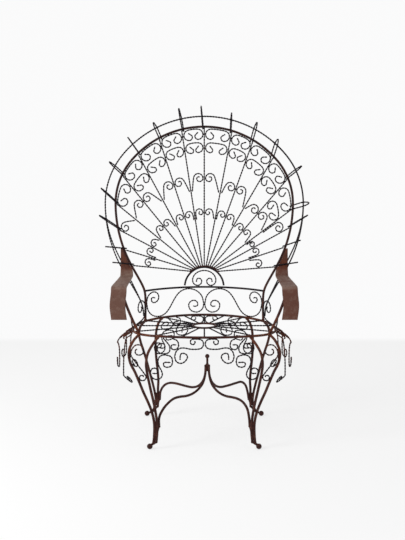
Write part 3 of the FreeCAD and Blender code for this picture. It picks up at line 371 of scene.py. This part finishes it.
def strap_paint(coat, colours):
    """Arm strap: brown paint thinned in streaks, a painted sheen paling the level top, with rust
    where the strap meets the hoop.
    """
    clouds = coat.noise(STRAP_CLOUDS, 6.0, 0.65)
    streaks = coat.noise(STRAP_STREAKS, 5.0, 0.7, (1.0, 0.25, 1.0))
    height = coat.along("Z")
    top = coat.between(height, ARM_TOP - 0.012, ARM_TOP - 0.002)
    rise = coat.between(height, ARM_TOP + 0.010, ARM_TOP + 0.030)
    one_side = coat.between(coat.along("X"), -0.1, 0.1)
    # Painted sheen: the level top of the strap is drawn paler in cloudy patches, as where it
    # catches light at a grazing angle
    top_sheen = coat.between(clouds, 0.34, 0.62) * top * (1 - rise)
    thin = coat.between(streaks, 0.46, 0.70)
    specks = coat.between(coat.noise(STRAP_SPECKS, 3.0, 0.6), 0.66, 0.74)
    pits = coat.between(coat.noise(STRAP_PITS, 4.0, 0.7), 0.58, 0.70)
    rusty = rise * (0.55 + coat.between(clouds, 0.40, 0.60) * 0.45)
    colour = coat.mix(one_side, colours.strap_paint, colours.strap_red)
    colour = coat.mix(thin * 0.30, colour, colours.strap_worn_and_sheen)
    colour = coat.mix(pits * 0.55, colour, colours.bar_paint)
    # Painted sheen paling the level top of the strap
    colour = coat.mix(top_sheen * 0.6, colour, colours.strap_worn_and_sheen)
    colour = coat.mix(rusty * 0.9, colour, colours.rust)
    colour = coat.mix(rise * (0.32 + coat.between(streaks, 0.44, 0.60) * 0.45), colour,
                      colours.bar_paint)
    colour = coat.mix(specks * 0.6, colour, colours.chip)
    dull = 0.50 + top_sheen * 0.12 + rusty * 0.22
    surface = coat.noise(STRAP_GRAIN, 4.0, 0.6) * 0.6 + clouds * 0.4 - pits * 0.4
    coat.painted_steel(colour, dull, coat.bump(surface, 0.3 * MM, 0.6))


FINISHES = {"bar_paint": bar_paint, "wire_paint": wire_paint, "strap_paint": strap_paint}


def finish(paint):
    """The weathered paint of this name, made the first time it is asked for."""
    name = "weathered_" + paint
    if name not in bpy.data.materials:
        coat = Paint(bpy.data.materials.new(name))
        FINISHES[paint](coat, bpy.context.scene.armchair_colours)
    return bpy.data.materials[name]


def solids(node):
    """A CAD node as one merged bmesh, and the corners of each separate solid in it."""
    mesh = bmesh.new()
    mesh.from_mesh(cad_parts[node].data)
    bmesh.ops.remove_doubles(mesh, verts=mesh.verts, dist=SAME_PLACE)
    mesh.verts.index_update()
    mesh.normal_update()
    left = set(mesh.verts)
    groups = []
    while left:
        seed = min(left, key=lambda v: v.index)
        group = [seed]
        left.discard(seed)
        for vertex in group:
            for edge in vertex.link_edges:
                other = edge.other_vert(vertex)
                if other in left:
                    left.discard(other)
                    group.append(other)
        groups.append(group)
    return mesh, groups


def possible_ends(group, sides, radius):
    """Sets of corners that may be the flat end of a faceted bar."""
    side = 2 * radius * math.sin(math.pi / sides)
    diagonal = 2 * radius * math.sin(2 * math.pi / sides)
    for vertex in group:
        for face in vertex.link_faces:
            lengths = sorted(edge.calc_length() for edge in face.edges)
            if any(abs(a - b) > SAME_LENGTH for a, b in zip(lengths, (side, side, diagonal))):
                continue
            level = face.normal.dot(vertex.co)
            middle = face.calc_center_median()
            section = [v for v in group if abs(face.normal.dot(v.co) - level) < SAME_PLANE
                       and (v.co - middle).length < SECTION_REACH * radius]
            if len(section) == sides:
                yield section


def sections(first):
    """Cross sections of a faceted bar in order from its end section, or nothing if that's wrong."""
    seen = set(first)
    rows = [first]
    while True:
        ahead = {edge.other_vert(v) for v in rows[-1] for edge in v.link_edges} - seen
        if not ahead:
            return rows
        if len(ahead) != len(first):
            return []
        seen |= ahead
        rows.append(sorted(ahead, key=lambda v: v.index))


def follow(group, sides, radius):
    """Cross sections of one bar of the frame."""
    for first in possible_ends(group, sides, radius):
        rows = sections(first)
        if len(rows) * sides == len(group):
            return rows
    raise RuntimeError("a bar of the frame could not be followed")


def centre(section):
    return sum((v.co for v in section), Vector()) / len(section)


def routes(node, sides, diameter):
    """Axis points of every bar in a CAD node, in metres."""
    mesh, groups = solids(node)
    lines = []
    for group in groups:
        lines.append([centre(row) for row in follow(group, sides, diameter / 2 * MM)])
    mesh.free()
    return lines


def ring_axis(node, diameter):
    """Axis points of a level closed ring of six-sided bar, from its inner and outer ridges."""
    mesh, groups = solids(node)
    level = centre(groups[0]).z
    ridge = [v for v in groups[0] if abs(v.co.z - level) < SAME_LEVEL]
    middle = centre(ridge)
    least, most = (share * diameter * MM for share in RIDGES_APART)
    line = []
    for v in ridge:
        away = (v.co - middle).length
        mates = [w for w in ridge if least < (w.co - v.co).length < most
                 and (w.co - middle).length < away - diameter / 2 * MM]
        if mates:
            mate = min(mates, key=lambda w: (w.co - v.co).length)
            line.append((v.co + mate.co) / 2)
    mesh.free()
    line.sort(key=lambda p: math.atan2(p.y - middle.y, p.x - middle.x))
    return line


def tangents(points, closed):
    """Direction at each point, weighted towards the longer neighbouring run."""
    count = len(points)
    result = []
    for i in range(count):
        before = points[i] - points[i - 1] if closed or i else Vector()
        after = points[(i + 1) % count] - points[i] if closed or i < count - 1 else Vector()
        result.append((before + after).normalized())
    return result


def smooth(points, step, closed=False):
    """The route as close points on arcs and straights through its corners."""
    handles = tangents(points, closed)
    ends = list(zip(points, points[1:], handles, handles[1:]))
    if closed:
        ends.append((points[-1], points[0], handles[-1], handles[0]))
    line = []
    for here, there, leave, arrive in ends:
        chord = (there - here).length
        turn = leave.angle(arrive, 0.0)
        if turn < LEAST_BEND:
            reach = chord / 3
        else:
            reach = chord * 2 / 3 * math.tan(turn / 4) / math.sin(turn / 2)
        count = max(1, round(chord / step))
        drawn = interpolate_bezier(here, here + leave * reach, there - arrive * reach, there,
                                   count + 1)
        line.extend(drawn[:-1])
    if not closed:
        line.append(points[-1].copy())
    return line


def length_of(line):
    return sum((there - here).length for here, there in zip(line, line[1:]))


def even(line, count, closed=False):
    """The route again, cut into this many equal lengths."""
    track = line + [line[0]] if closed else line
    total = length_of(track)
    result = []
    walked = 0.0
    k = 0
    for i in range(count if closed else count + 1):
        target = total * i / count
        span = (track[k + 1] - track[k]).length
        while k < len(track) - 2 and walked + span < target:
            walked += span
            k += 1
            span = (track[k + 1] - track[k]).length
        share = (target - walked) / span if span > 0 else 0.0
        result.append(track[k].lerp(track[k + 1], min(1.0, share)))
    return result


def drawn_route(points, step, closed=False):
    """Smoothed route with its points about a step apart."""
    line = smooth(points, step / 2, closed)
    return even(line, max(2, round(length_of(line) / step)), closed)


def curve_piece(name, lines, closed=False):
    """A new curve with a straight-run spline along each line."""
    curve = bpy.data.curves.new(name, "CURVE")
    curve.dimensions = "3D"
    curve.twist_mode = "MINIMUM"
    curve.use_fill_caps = True
    for line in lines:
        spline = curve.splines.new("POLY")
        spline.points.add(len(line) - 1)
        spline.points.foreach_set("co", [c for p in line for c in (*p, 1.0)])
        spline.use_cyclic_u = closed
    return curve


def mesh_from_curve(name, curve, helpers=()):
    """Turn a curve into a mesh with clean, outward faces."""
    holder = bpy.data.objects.new(name + "_curve", curve)
    bpy.context.scene.collection.objects.link(holder)
    depsgraph = bpy.context.evaluated_depsgraph_get()
    mesh = bpy.data.meshes.new_from_object(holder.evaluated_get(depsgraph))
    for helper in (holder, *helpers):
        data = helper.data
        bpy.data.objects.remove(helper)
        bpy.data.curves.remove(data)
    work = bmesh.new()
    work.from_mesh(mesh)
    bmesh.ops.remove_doubles(work, verts=work.verts, dist=SAME_PLACE)
    bmesh.ops.recalc_face_normals(work, faces=work.faces)
    work.to_mesh(mesh)
    work.free()
    mesh.name = name
    return mesh


def mesh_of(name, work):
    """Turn a finished bmesh into a mesh."""
    mesh = bpy.data.meshes.new(name)
    work.to_mesh(mesh)
    work.free()
    return mesh


def place_piece(name, mesh, paint, nodes=()):
    """Link a finished mesh as a piece, standing for the CAD nodes that it replaces."""
    mesh.materials.clear()
    mesh.materials.append(finish(paint))
    mesh.shade_smooth()
    piece = bpy.data.objects.new(name, mesh)
    bpy.context.scene.collection.objects.link(piece)
    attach(piece, BODY)
    if nodes:
        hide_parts(*nodes)
    return piece


def round_bar(name, node, diameter, ring=False, paint="bar_paint"):
    """Smooth round bar along the routes of a CAD node."""
    sizes = bpy.context.scene.armchair_sizes
    lines = [ring_axis(node, diameter)] if ring else routes(node, BAR_SIDES, diameter)
    curve = curve_piece(name, [drawn_route(line, sizes.bar_step, ring) for line in lines], ring)
    curve.bevel_depth = diameter / 2 * MM + sizes.paint_coat
    curve.bevel_resolution = sizes.bar_rounding
    return place_piece(name, mesh_from_curve(name, curve), paint, [node])


def strands_profile(strand):
    """Cross section of the twisted wire: two strands side by side."""
    profile = bpy.data.curves.new("strands", "CURVE")
    profile.dimensions = "2D"
    offset = (bpy.context.scene.armchair_sizes.twist_width - strand) / 2
    for side in (-1, 1):
        spline = profile.splines.new("POLY")
        spline.points.add(STRAND_SIDES - 1)
        for k, point in enumerate(spline.points):
            angle = 2 * math.pi / STRAND_SIDES * k
            point.co = (side * offset + strand / 2 * math.cos(angle),
                        strand / 2 * math.sin(angle), 0.0, 1.0)
        spline.use_cyclic_u = True
    holder = bpy.data.objects.new("strands", profile)
    bpy.context.scene.collection.objects.link(holder)
    return holder


def twisted_wire(name, node, strand=None):
    """Two-strand twisted wires along the routes of a CAD node."""
    sizes = bpy.context.scene.armchair_sizes
    step = 2 * sizes.bead / sizes.rings_per_turn
    lines = [drawn_route(line, step) for line in routes(node, WIRE_SIDES, WIRE)]
    curve = curve_piece(name, lines)
    profile = strands_profile(strand or sizes.strand)
    curve.bevel_mode = "OBJECT"
    curve.bevel_object = profile
    for spline in curve.splines:
        for k, point in enumerate(spline.points):
            point.tilt = 2 * math.pi * k / sizes.rings_per_turn
    return place_piece(name, mesh_from_curve(name, curve, [profile]), "wire_paint", [node])


def stand(node):
    """Middle of the underside of a CAD node's box."""
    low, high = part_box(node)
    return Vector(((low.x + high.x) / 2, (low.y + high.y) / 2, low.z))


def turned_piece(name, node, profile):
    """Piece spun about an upright axis from (radius, height) pairs in millimetres."""
    work = bmesh.new()
    corners = [work.verts.new((radius * MM, 0.0, height * MM)) for radius, height in profile]
    edges = [work.edges.new(pair) for pair in zip(corners, corners[1:])]
    bmesh.ops.spin(work, geom=corners + edges, cent=(0, 0, 0), axis=(0, 0, 1),
                   angle=2 * math.pi, steps=TURNED_STEPS, use_merge=True, use_duplicate=False)
    bmesh.ops.remove_doubles(work, verts=work.verts, dist=SAME_PLACE)
    bmesh.ops.translate(work, verts=work.verts, vec=stand(node))
    bmesh.ops.recalc_face_normals(work, faces=work.faces)
    return place_piece(name, mesh_of(name, work), "bar_paint", [node])


def ball(diameter, middle, first, last):
    """Profile of part of a ball, from one latitude up to another."""
    radius = diameter / 2
    pairs = []
    for k in range(BALL_STEPS + 1):
        latitude = math.radians(first + (last - first) * k / BALL_STEPS)
        pairs.append((radius * math.cos(latitude), middle + radius * math.sin(latitude)))
    return pairs


def strap_edges(node, step):
    """Inner and outer edge of an arm strap as equally many points, from its lowest end."""
    mesh, groups = solids(node)
    rows = sections(sorted(groups[0], key=lambda v: v.co.z)[:STRAP_CORNERS])
    inner = []
    outer = []
    for row in rows:
        ranked = sorted(row, key=lambda v: abs(v.co.x))
        inner.append(centre(ranked[:2]))
        outer.append(centre(ranked[2:]))
    mesh.free()
    count = round(length_of(inner) / step)
    return even(smooth(inner, step), count), even(smooth(outer, step), count)


def arm_strap(side):
    """Flat strap bent to the route of the CAD strap, with softened edges."""
    sizes = bpy.context.scene.armchair_sizes
    node = "arm_strap_" + side
    inner, outer = strap_edges(node, sizes.strap_step)
    last = len(inner) - 1
    work = bmesh.new()
    grid = bmesh.ops.create_grid(work, x_segments=STRAP_COLUMNS, y_segments=last, size=1.0)
    for vertex in grid["verts"]:
        along = round((vertex.co.y + 1) / 2 * last)
        vertex.co = inner[along].lerp(outer[along], (vertex.co.x + 1) / 2)
    bmesh.ops.recalc_face_normals(work, faces=work.faces)
    piece = place_piece("strap_" + side, mesh_of("strap_" + side, work), "strap_paint", [node])
    thick = piece.modifiers.new("Thickness", "SOLIDIFY")
    thick.thickness = STRAP * MM
    thick.offset = 0.0
    edge = piece.modifiers.new("Edges", "BEVEL")
    edge.width = sizes.strap_edge
    edge.segments = STRAP_EDGE_STEPS
    edge.limit_method = "ANGLE"
    edge.angle_limit = STRAP_CREASE


def weld_beads(name, places, radius):
    """Lumpy weld beads, one at each place."""
    work = bmesh.new()
    for place in places:
        bead = bmesh.ops.create_icosphere(work, subdivisions=BEAD_DIVISIONS, radius=radius)
        for vertex in bead["verts"]:
            swell = 1 + LUMP_SHARE * lump((vertex.co + place) * LUMPS)
            vertex.co = place + vertex.co * swell
    place_piece(name, mesh_of(name, work), "bar_paint")


def bar_ends(node, sides, diameter, end):
    """The lowest or the highest end of each bar in a CAD node."""
    pick = min if end == "low" else max
    return [pick(line[0], line[-1], key=lambda p: p.z) for line in routes(node, sides, diameter)]


def leg_rods(corner):
    """Routes of the outer and the inner rod of a leg."""
    return [routes("leg_" + rod + "_rod_" + corner, BAR_SIDES, LEG_BAR)[0]
            for rod in ("outer", "inner")]


def nearest(place, points):
    return min(points, key=lambda p: (p - place).length)


def seam(first, second, low, high):
    """Line midway between two rods, over the heights where they run side by side."""
    step = bpy.context.scene.armchair_sizes.bar_step
    near_rod = drawn_route(second, step)
    return [(point + nearest(point, near_rod)) / 2 for point in drawn_route(first, step)
            if low <= point.z <= high]


def leg_seams():
    """Welds between the two rods of each leg."""
    seams = []
    for corner in CORNERS:
        outer, inner = leg_rods(corner)
        seams.append(seam(inner, outer, *SEAM_HEIGHTS[corner.split("_")[0]]))
    fillet = curve_piece("leg_seams", seams)
    fillet.bevel_depth = LEG_BAR * SEAM_SHARE * MM
    fillet.bevel_resolution = 1
    place_piece("leg_seams", mesh_from_curve("leg_seams", fillet), "bar_paint")


def tail(bar, rod, end, length):
    """Points from the low or high end of a bar on along a rod and into it, for a tapering weld."""
    line = drawn_route(bar, bpy.context.scene.armchair_sizes.bar_step)
    tip = line[0] if (line[0].z < line[-1].z) == (end == "low") else line[-1]
    apart = tip - nearest(tip, rod)
    way = -1 if end == "low" else 1
    ahead = [p for p in rod if 0 < way * (p.z - tip.z) < length * MM]
    ahead.sort(key=lambda p: way * p.z)
    return [tip] + [p + apart * (1 - ((k + 1) / len(ahead)) ** TAIL_CLOSING)
                    for k, p in enumerate(ahead)]


def weld_tails(sizes):
    """Tapering welds where the inner leg rods and the stretchers end."""
    base = stand("stretcher_finial")
    stem = [base + Vector((0.0, 0.0, k * MM)) for k in range(round(STEM_HEIGHT))]
    tails = []
    for corner in CORNERS:
        outer, inner = leg_rods(corner)
        stretcher, = routes("stretcher_" + corner, BAR_SIDES, STRETCHER_BAR)
        tails.append(tail(inner, drawn_route(outer, 2 * sizes.weld), "low", ANKLE_TAIL))
        tails.append(tail(stretcher, drawn_route(inner, 2 * sizes.weld), "low", STRETCHER_TAIL))
        tails.append(tail(stretcher, stem, "high", STEM_TAIL))
    taper = curve_piece("weld_tails", tails)
    taper.bevel_depth = STRETCHER_BAR / 2 * MM
    taper.bevel_resolution = sizes.bar_rounding
    for spline in taper.splines:
        for k, point in enumerate(spline.points):
            point.radius = 1 - TAIL_THINNING * k / len(spline.points)
    place_piece("weld_tails", mesh_from_curve("weld_tails", taper), "bar_paint")


class ArmchairOperator:
    bl_options = {"REGISTER", "UNDO"}


class ARMCHAIR_OT_back_bars(ArmchairOperator, bpy.types.Operator):
    """Hoop, hub arch and mid rail of the back"""
    bl_idname = "armchair.back_bars"
    bl_label = "Back bars"

    def execute(self, context):
        round_bar("hoop", "back_hoop", FRAME_BAR)
        round_bar("arch", "hub_arch", RAIL_BAR, paint="wire_paint")
        round_bar("rail", "mid_rail", RAIL_BAR, paint="wire_paint")
        return {"FINISHED"}


class ARMCHAIR_OT_outer_rings(ArmchairOperator, bpy.types.Operator):
    """Two twisted wires that ring the hoop"""
    bl_idname = "armchair.outer_rings"
    bl_label = "Outer rings"

    def execute(self, context):
        for end in ("front", "rear"):
            twisted_wire("ring_" + end, "outer_ring_" + end)
        return {"FINISHED"}


class ARMCHAIR_OT_spokes(ArmchairOperator, bpy.types.Operator):
    """Twisted spokes of the fan"""
    bl_idname = "armchair.spokes"
    bl_label = "Spokes"

    def execute(self, context):
        twisted_wire("spoke_middle", "spoke_centre")
        for side in SIDES:
            twisted_wire("fan_spokes_" + side, "spokes_" + side)
        return {"FINISHED"}


class ARMCHAIR_OT_finials(ArmchairOperator, bpy.types.Operator):
    """Hairpin finials round the hoop"""
    bl_idname = "armchair.finials"
    bl_label = "Finials"

    def execute(self, context):
        strand = context.scene.armchair_sizes.finial_strand
        twisted_wire("hairpin_middle", "finial_centre", strand)
        for side in SIDES:
            twisted_wire("hairpins_" + side, "finials_" + side, strand)
        return {"FINISHED"}


class ARMCHAIR_OT_fan_scrolls(ArmchairOperator, bpy.types.Operator):
    """Four rows of scrolls between the spokes, and the scroll in the hub"""
    bl_idname = "armchair.fan_scrolls"
    bl_label = "Fan scrolls"

    def execute(self, context):
        for row in ("outer", "second", "third", "fourth"):
            for side in SIDES:
                twisted_wire("fan_" + row + "_" + side, "scrolls_" + row + "_row_" + side)
        twisted_wire("hub_curl", "hub_scroll")
        return {"FINISHED"}


class ARMCHAIR_OT_lower_back(ArmchairOperator, bpy.types.Operator):
    """Pair of scrolls between the seat and the mid rail"""
    bl_idname = "armchair.lower_back"
    bl_label = "Lower back scrolls"

    def execute(self, context):
        for side in SIDES:
            twisted_wire("back_scroll_" + side, "lower_back_scroll_" + side)
        return {"FINISHED"}


class ARMCHAIR_OT_seat(ArmchairOperator, bpy.types.Operator):
    """Seat ring, hub ring and radial seat wires"""
    bl_idname = "armchair.seat"
    bl_label = "Seat"

    def execute(self, context):
        round_bar("seat_frame", "seat_ring", FRAME_BAR, ring=True)
        round_bar("seat_hub", "seat_hub_ring", RAIL_BAR, ring=True)
        for part in ("front", "rear", "left", "right"):
            twisted_wire("seat_wire_" + part, "seat_wires_" + part)
        return {"FINISHED"}


class ARMCHAIR_OT_arms(ArmchairOperator, bpy.types.Operator):
    """Arm straps, their supports and the scrolls under them"""
    bl_idname = "armchair.arms"
    bl_label = "Arms"

    def execute(self, context):
        for side in SIDES:
            arm_strap(side)
            round_bar("support_" + side, "arm_support_" + side, LEG_BAR)
            twisted_wire("under_arm_" + side, "arm_scroll_" + side)
        return {"FINISHED"}


class ARMCHAIR_OT_legs(ArmchairOperator, bpy.types.Operator):
    """Leg rods and foot balls"""
    bl_idname = "armchair.legs"
    bl_label = "Legs"

    def execute(self, context):
        for corner in CORNERS:
            round_bar("outer_leg_" + corner, "leg_outer_rod_" + corner, LEG_BAR)
            round_bar("inner_leg_" + corner, "leg_inner_rod_" + corner, LEG_BAR)
            turned_piece("foot_" + corner, "foot_ball_" + corner,
                         ball(FOOT_BALL, FOOT_BALL / 2, -90, 90))
        return {"FINISHED"}


class ARMCHAIR_OT_stretchers(ArmchairOperator, bpy.types.Operator):
    """Serpentine stretchers and the stem with a ball where they meet"""
    bl_idname = "armchair.stretchers"
    bl_label = "Stretchers"

    def execute(self, context):
        for corner in CORNERS:
            round_bar("stretch_" + corner, "stretcher_" + corner, STRETCHER_BAR)
        neck = math.acos(STEM / FINIAL_BALL)
        middle = STEM_HEIGHT + FINIAL_BALL / 2 * math.sin(neck)
        profile = [(0.0, 0.0), (STEM / 2, 0.0)]
        profile += ball(FINIAL_BALL, middle, -math.degrees(neck), 90)
        turned_piece("cross_finial", "stretcher_finial", profile)
        return {"FINISHED"}


class ARMCHAIR_OT_skirt(ArmchairOperator, bpy.types.Operator):
    """Scrolls of the skirt under the seat and in the front legs"""
    bl_idname = "armchair.skirt"
    bl_label = "Skirt"

    def execute(self, context):
        for side in SIDES:
            for part in ("front", "side", "rear"):
                twisted_wire("skirt_wire_" + part + "_" + side, "skirt_" + part + "_" + side)
            twisted_wire("leg_scroll_" + side, "leg_curl_" + side)
        return {"FINISHED"}


class ARMCHAIR_OT_welds(ArmchairOperator, bpy.types.Operator):
    """Welds where the bars and spokes are joined"""
    bl_idname = "armchair.welds"
    bl_label = "Weld beads"

    def execute(self, context):
        sizes = context.scene.armchair_sizes
        tops = []
        ankles = []
        for corner in CORNERS:
            for rod in ("outer", "inner"):
                tops += bar_ends("leg_" + rod + "_rod_" + corner, BAR_SIDES, LEG_BAR, "high")
            ankles += bar_ends("stretcher_" + corner, BAR_SIDES, STRETCHER_BAR, "low")
            ankles += bar_ends("stretcher_" + corner, BAR_SIDES, STRETCHER_BAR, "high")
            ankles += bar_ends("leg_inner_rod_" + corner, BAR_SIDES, LEG_BAR, "low")
        for side in SIDES:
            tops += bar_ends("arm_support_" + side, BAR_SIDES, LEG_BAR, "low")
        hoop, = routes("back_hoop", BAR_SIDES, FRAME_BAR)
        tops += [hoop[0], hoop[-1]]
        hub = []
        for node in ("spoke_centre", "spokes_left", "spokes_right"):
            hub += bar_ends(node, WIRE_SIDES, WIRE, "low")
        weld_beads("welds_seat", tops, LEG_BAR / 2 * MM + sizes.weld)
        weld_beads("welds_cross", ankles, STRETCHER_BAR / 2 * MM + sizes.weld / 2)
        leg_seams()
        weld_tails(sizes)
        weld_beads("welds_hub", hub, WIRE / 2 * MM + sizes.weld)
        return {"FINISHED"}


class ARMCHAIR_OT_stage(ArmchairOperator, bpy.types.Operator):
    """Pale floor, soft light and the camera"""
    bl_idname = "armchair.stage"
    bl_label = "Stage"

    def execute(self, context):
        build_floor(context)
        build_world(context)
        for name in LAMPS:
            build_lamp(context, name, *LAMPS[name])
        build_camera(context)
        return {"FINISHED"}


def build_floor(context):
    """Floor that keeps the shadow, and reads as the wall beyond the foot of the walls."""
    colours = context.scene.armchair_colours
    work = bmesh.new()
    bmesh.ops.create_grid(work, x_segments=1, y_segments=1, size=FLOOR_REACH)
    floor = bpy.data.objects.new("studio_floor", mesh_of("studio_floor", work))
    context.scene.collection.objects.link(floor)
    paint = Paint(bpy.data.materials.new("studio_floor"))
    away = paint.maths("MAXIMUM", abs(paint.along("X")), abs(paint.along("Y")))
    beyond = paint.between(away, WALL_FOOT - WALL_BLUR, WALL_FOOT + WALL_BLUR)
    tone = paint.noise(FLOOR_CLOUDS, 2.0, 0.5)
    shade = paint.mix(tone * FLOOR_STAIN, colours.floor, FLOOR_GREY)
    matte = paint.node("ShaderNodeBsdfDiffuse", None, {"Color": shade})
    glow = paint.node("ShaderNodeEmission", None, {"Color": (*colours.wall, 1.0), "Strength": 1.0})
    share = paint.seen() * (FLOOR_GLOW + beyond * (1 - FLOOR_GLOW))
    both = paint.node("ShaderNodeMixShader", None,
                      {0: share, 1: matte.outputs[0], 2: glow.outputs[0]})
    paint.node("ShaderNodeOutputMaterial", None, {"Surface": both.outputs[0]})
    floor.data.materials.append(paint.owner)


def build_world(context):
    """Even surroundings: the wall's tone where they are seen, white light on the chair."""
    wall = context.scene.armchair_colours.wall
    context.scene.world = bpy.data.worlds.new("studio")
    paint = Paint(context.scene.world)
    falls = paint.node("ShaderNodeBackground", None,
                       {"Color": (1.0, 1.0, 1.0, 1.0), "Strength": DAYLIGHT})
    shows = paint.node("ShaderNodeBackground", None, {"Color": (*wall, 1.0), "Strength": 1.0})
    both = paint.node("ShaderNodeMixShader", None,
                      {0: paint.seen(), 1: falls.outputs[0], 2: shows.outputs[0]})
    paint.node("ShaderNodeOutputWorld", None, {"Surface": both.outputs[0]})


def build_lamp(context, name, place, size, energy):
    lamp = bpy.data.lights.new(name, "AREA")
    lamp.shape = "DISK"
    lamp.size = size
    lamp.energy = energy
    holder = bpy.data.objects.new(name, lamp)
    holder.location = place
    aim = Vector(LAMP_AIM) - Vector(place)
    holder.rotation_euler = aim.to_track_quat("-Z", "Y").to_euler()
    context.scene.collection.objects.link(holder)


def build_camera(context):
    """Camera at the photograph's viewing angle."""
    camera = bpy.data.cameras.new("camera")
    camera.sensor_fit = "VERTICAL"
    camera.sensor_height = FILM_HEIGHT
    camera.lens = FILM_HEIGHT * FOCAL_PIXELS / FRAME_PIXELS
    camera.clip_start = 0.05
    camera.clip_end = 100.0
    holder = bpy.data.objects.new("camera", camera)
    holder.location = CAMERA_PLACE
    holder.rotation_euler = (math.radians(90 - CAMERA_DIP), 0.0, 0.0)
    context.scene.collection.objects.link(holder)
    context.scene.camera = holder
    context.scene.view_settings.view_transform = "Standard"


class ARMCHAIR_PT_panel(bpy.types.Panel):
    bl_label = "Armchair"
    bl_idname = "ARMCHAIR_PT_panel"
    bl_space_type = "VIEW_3D"
    bl_region_type = "UI"
    bl_category = "Armchair"

    def draw(self, context):
        layout = self.layout
        for settings in (context.scene.armchair_sizes, context.scene.armchair_colours):
            for name in settings.__annotations__:
                layout.prop(settings, name)
        for operator in OPERATORS:
            layout.operator(operator.bl_idname)


OPERATORS = (
    ARMCHAIR_OT_back_bars, ARMCHAIR_OT_outer_rings, ARMCHAIR_OT_spokes, ARMCHAIR_OT_finials,
    ARMCHAIR_OT_fan_scrolls, ARMCHAIR_OT_lower_back, ARMCHAIR_OT_seat, ARMCHAIR_OT_arms,
    ARMCHAIR_OT_legs, ARMCHAIR_OT_stretchers, ARMCHAIR_OT_skirt, ARMCHAIR_OT_welds,
    ARMCHAIR_OT_stage,
)
CLASSES = (ArmchairSizes, ArmchairColours, *OPERATORS, ARMCHAIR_PT_panel)


def register():
    for cls in CLASSES:
        bpy.utils.register_class(cls)
    bpy.types.Scene.armchair_sizes = PointerProperty(type=ArmchairSizes)
    bpy.types.Scene.armchair_colours = PointerProperty(type=ArmchairColours)


def unregister():
    del bpy.types.Scene.armchair_colours
    del bpy.types.Scene.armchair_sizes
    for cls in reversed(CLASSES):
        bpy.utils.unregister_class(cls)


def main():
    register()
    for operator in OPERATORS:
        group, name = operator.bl_idname.split(".")
        getattr(getattr(bpy.ops, group), name)()


if __name__ == "__main__":
    main()
